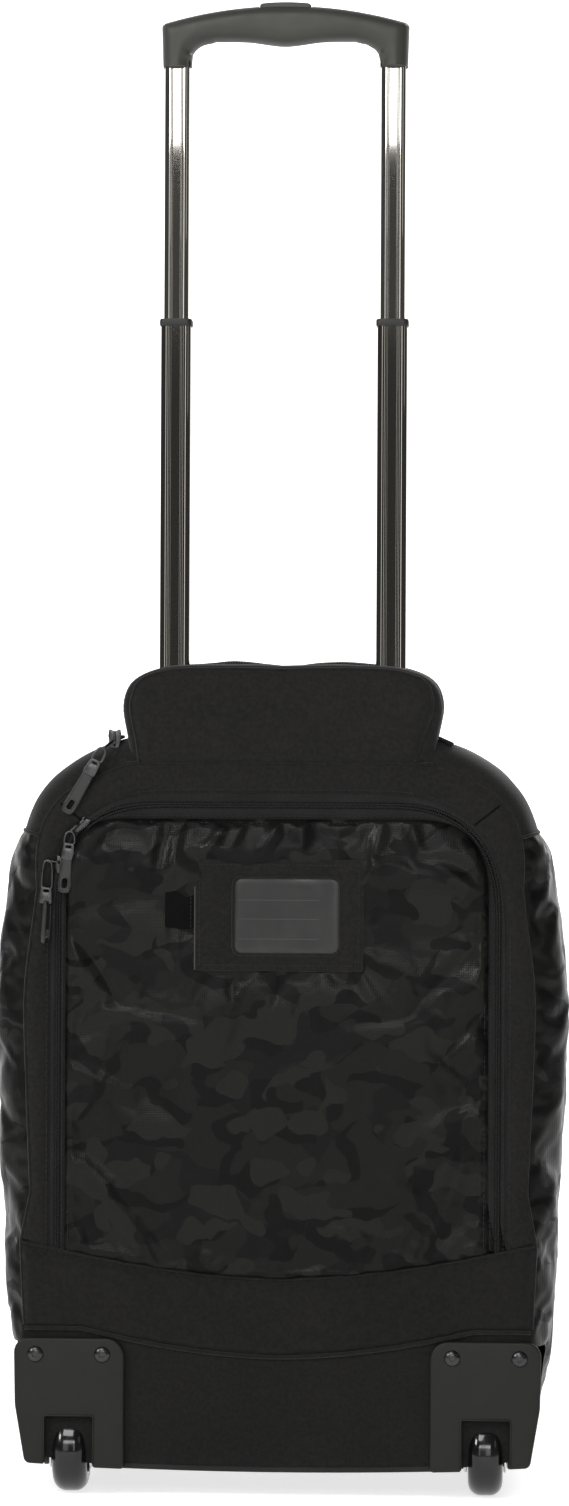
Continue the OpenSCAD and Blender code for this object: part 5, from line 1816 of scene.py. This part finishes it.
# front feet
feet = []
for x in (-120, 120):
    foot = lathe("foot", [(0.0, 0.01), (0.0, 8.6), (1.2, 10.0), (6.0, 10.6), (7.0, 12.8), (17.0, 13.4),
                          (18.6, 13.4), (18.6, 0.01)], (0, 0, 0), FOOT, 48)
    place(foot, (x, 58.0, 0.0), turn_y=-math.pi / 2)
    feet.append(foot)
dress(join("front_feet_moulded", feet), "foot_rubber", "bag", "front_feet")

# padded divider between the trolley channel and the main compartment
div_loop = [zip_line(i, 7.5) for i in range(0, N_LOOP, 2)]


def quilt(x, z, d):
    k = min(1.0, d / 10.0)
    return -k * (0.6 * abs(math.sin(x / 24.0)) + 0.5 * ripple(x / 40, z / 40, 81.0))


divider = front_side(fabric_panel("divider_lining", div_loop, [], 6.0, 54.6, 1.2, 8.0, LINING, quilt))
dress(divider, "lining", "bag", "divider_wall")

# ------------------------------------------------------------------ floor, light and camera

WORLD_LEVEL, FLOOR_GLOW, WALL_GLOW = 0.11, 0.72, 1.15
FLOOR_HALF, WALL_R, WALL_H = 12000, 11000, 16000


def glow(shader, level, strength):
    """A pale surface that shines white by itself, as a lit studio sweep does."""
    shader.inputs["Base Color"].default_value = grey(level)
    shader.inputs["Emission Color"].default_value = grey(1.0)
    shader.inputs["Emission Strength"].default_value = strength


floor_mat, ft, fb, fco = principled("pale_floor", rough=0.6, spec=0.2)
glow(fb, 0.6, FLOOR_GLOW)
bump(ft, fb, tex_noise(ft, fco, 40.0, 3.0), 0.04, 0.0006)
floor = mesh_obj("floor", [(FLOOR_HALF * a, FLOOR_HALF * b, 0) for a, b in SQUARE], [(0, 1, 2, 3)], floor_mat,
                 smooth=False)
wall_mat, _, wb, _ = principled("white_wall", rough=0.9, spec=0.0)
glow(wb, 0.8, WALL_GLOW)


for material in (floor_mat, wall_mat):
    material.cycles.emission_sampling = "NONE"


def backdrop(name, a0, a1, lights_bag):
    """Part of a white round wall; only the stretch behind the bag lights it."""
    turns = np.linspace(math.radians(a0), math.radians(a1), 25)
    ring = [(WALL_R * math.sin(t), WALL_R * math.cos(t)) for t in turns]
    ob = grid_mesh(name, [[(x, y, -50), (x, y, WALL_H)] for x, y in ring], wall_mat)
    ob.visible_diffuse = ob.visible_glossy = lights_bag
    ob.visible_shadow = False


backdrop("wall_behind", -50, 50, True)
backdrop("wall_around", 50, 310, False)

scene = bpy.context.scene
world = bpy.data.worlds.new("studio")
scene.world = world
world.use_nodes = True
bg = world.node_tree.nodes["Background"]
bg.inputs["Color"].default_value = (1.0, 1.0, 1.0, 1.0)
bg.inputs["Strength"].default_value = WORLD_LEVEL
scene.view_settings.view_transform = "Standard"
scene.view_settings.look = "None"


def area_light(name, at, target, size, power, size_y=None):
    data = bpy.data.lights.new(name, "AREA")
    data.energy = power
    data.shape = "RECTANGLE"
    data.size = size
    data.size_y = size_y or size
    ob = add_object(name, data)
    ob.location = at
    ob.rotation_euler = (Vector(target) - Vector(at)).to_track_quat("-Z", "Y").to_euler()
    ob.visible_camera = False


area_light("strip_left", (-0.675, -3.3, 1.05), (-0.05, 0, 0.75), 0.5, 5.5, 1.7)
area_light("strip_right", (0.43, -3.3, 1.05), (0.05, 0, 0.75), 0.5, 7.5, 1.7)
area_light("key", (-2.6, -2.2, 2.3), (0, 0, 0.4), 0.9, 56.0)
area_light("fill", (2.6, -1.9, 1.6), (0, 0, 0.4), 0.9, 2.0)
area_light("top", (-0.5, -2.1, 2.7), (0, 0, 0.4), 1.0, 30.0)
area_light("satin", (-0.1, -3.3, 1.67), (0, 0, 0.4), 1.6, 20.0, 0.5)
area_light("back", (1.2, 3.0, 2.4), (0, 0, 0.4), 1.4, 40.0)

YAW = math.radians(2.5)
ROLL = math.radians(0.27)
DISTANCE, EYE_Z, AIM_X = 2.6, 0.4555, 0.0028
NEAR_Y = -0.104
FRAME_H = 0.9209       # height of the picture at the back panel, in metres
cam_data = bpy.data.cameras.new("camera")
cam = add_object("camera", cam_data)
cam_data.sensor_fit = "VERTICAL"
cam_data.sensor_height = 24.0
cam_data.lens = 24.0 * DISTANCE / FRAME_H
cam_data.dof.use_dof = False
centre = Vector((AIM_X, NEAR_Y, EYE_Z))
at = centre + Vector((math.sin(YAW), -math.cos(YAW), 0)) * DISTANCE
cam.location = at
look = (centre - at).to_track_quat("-Z", "Y").to_matrix().to_4x4()
cam.rotation_euler = (look @ Matrix.Rotation(ROLL, 4, "Z")).to_euler()
scene.camera = cam
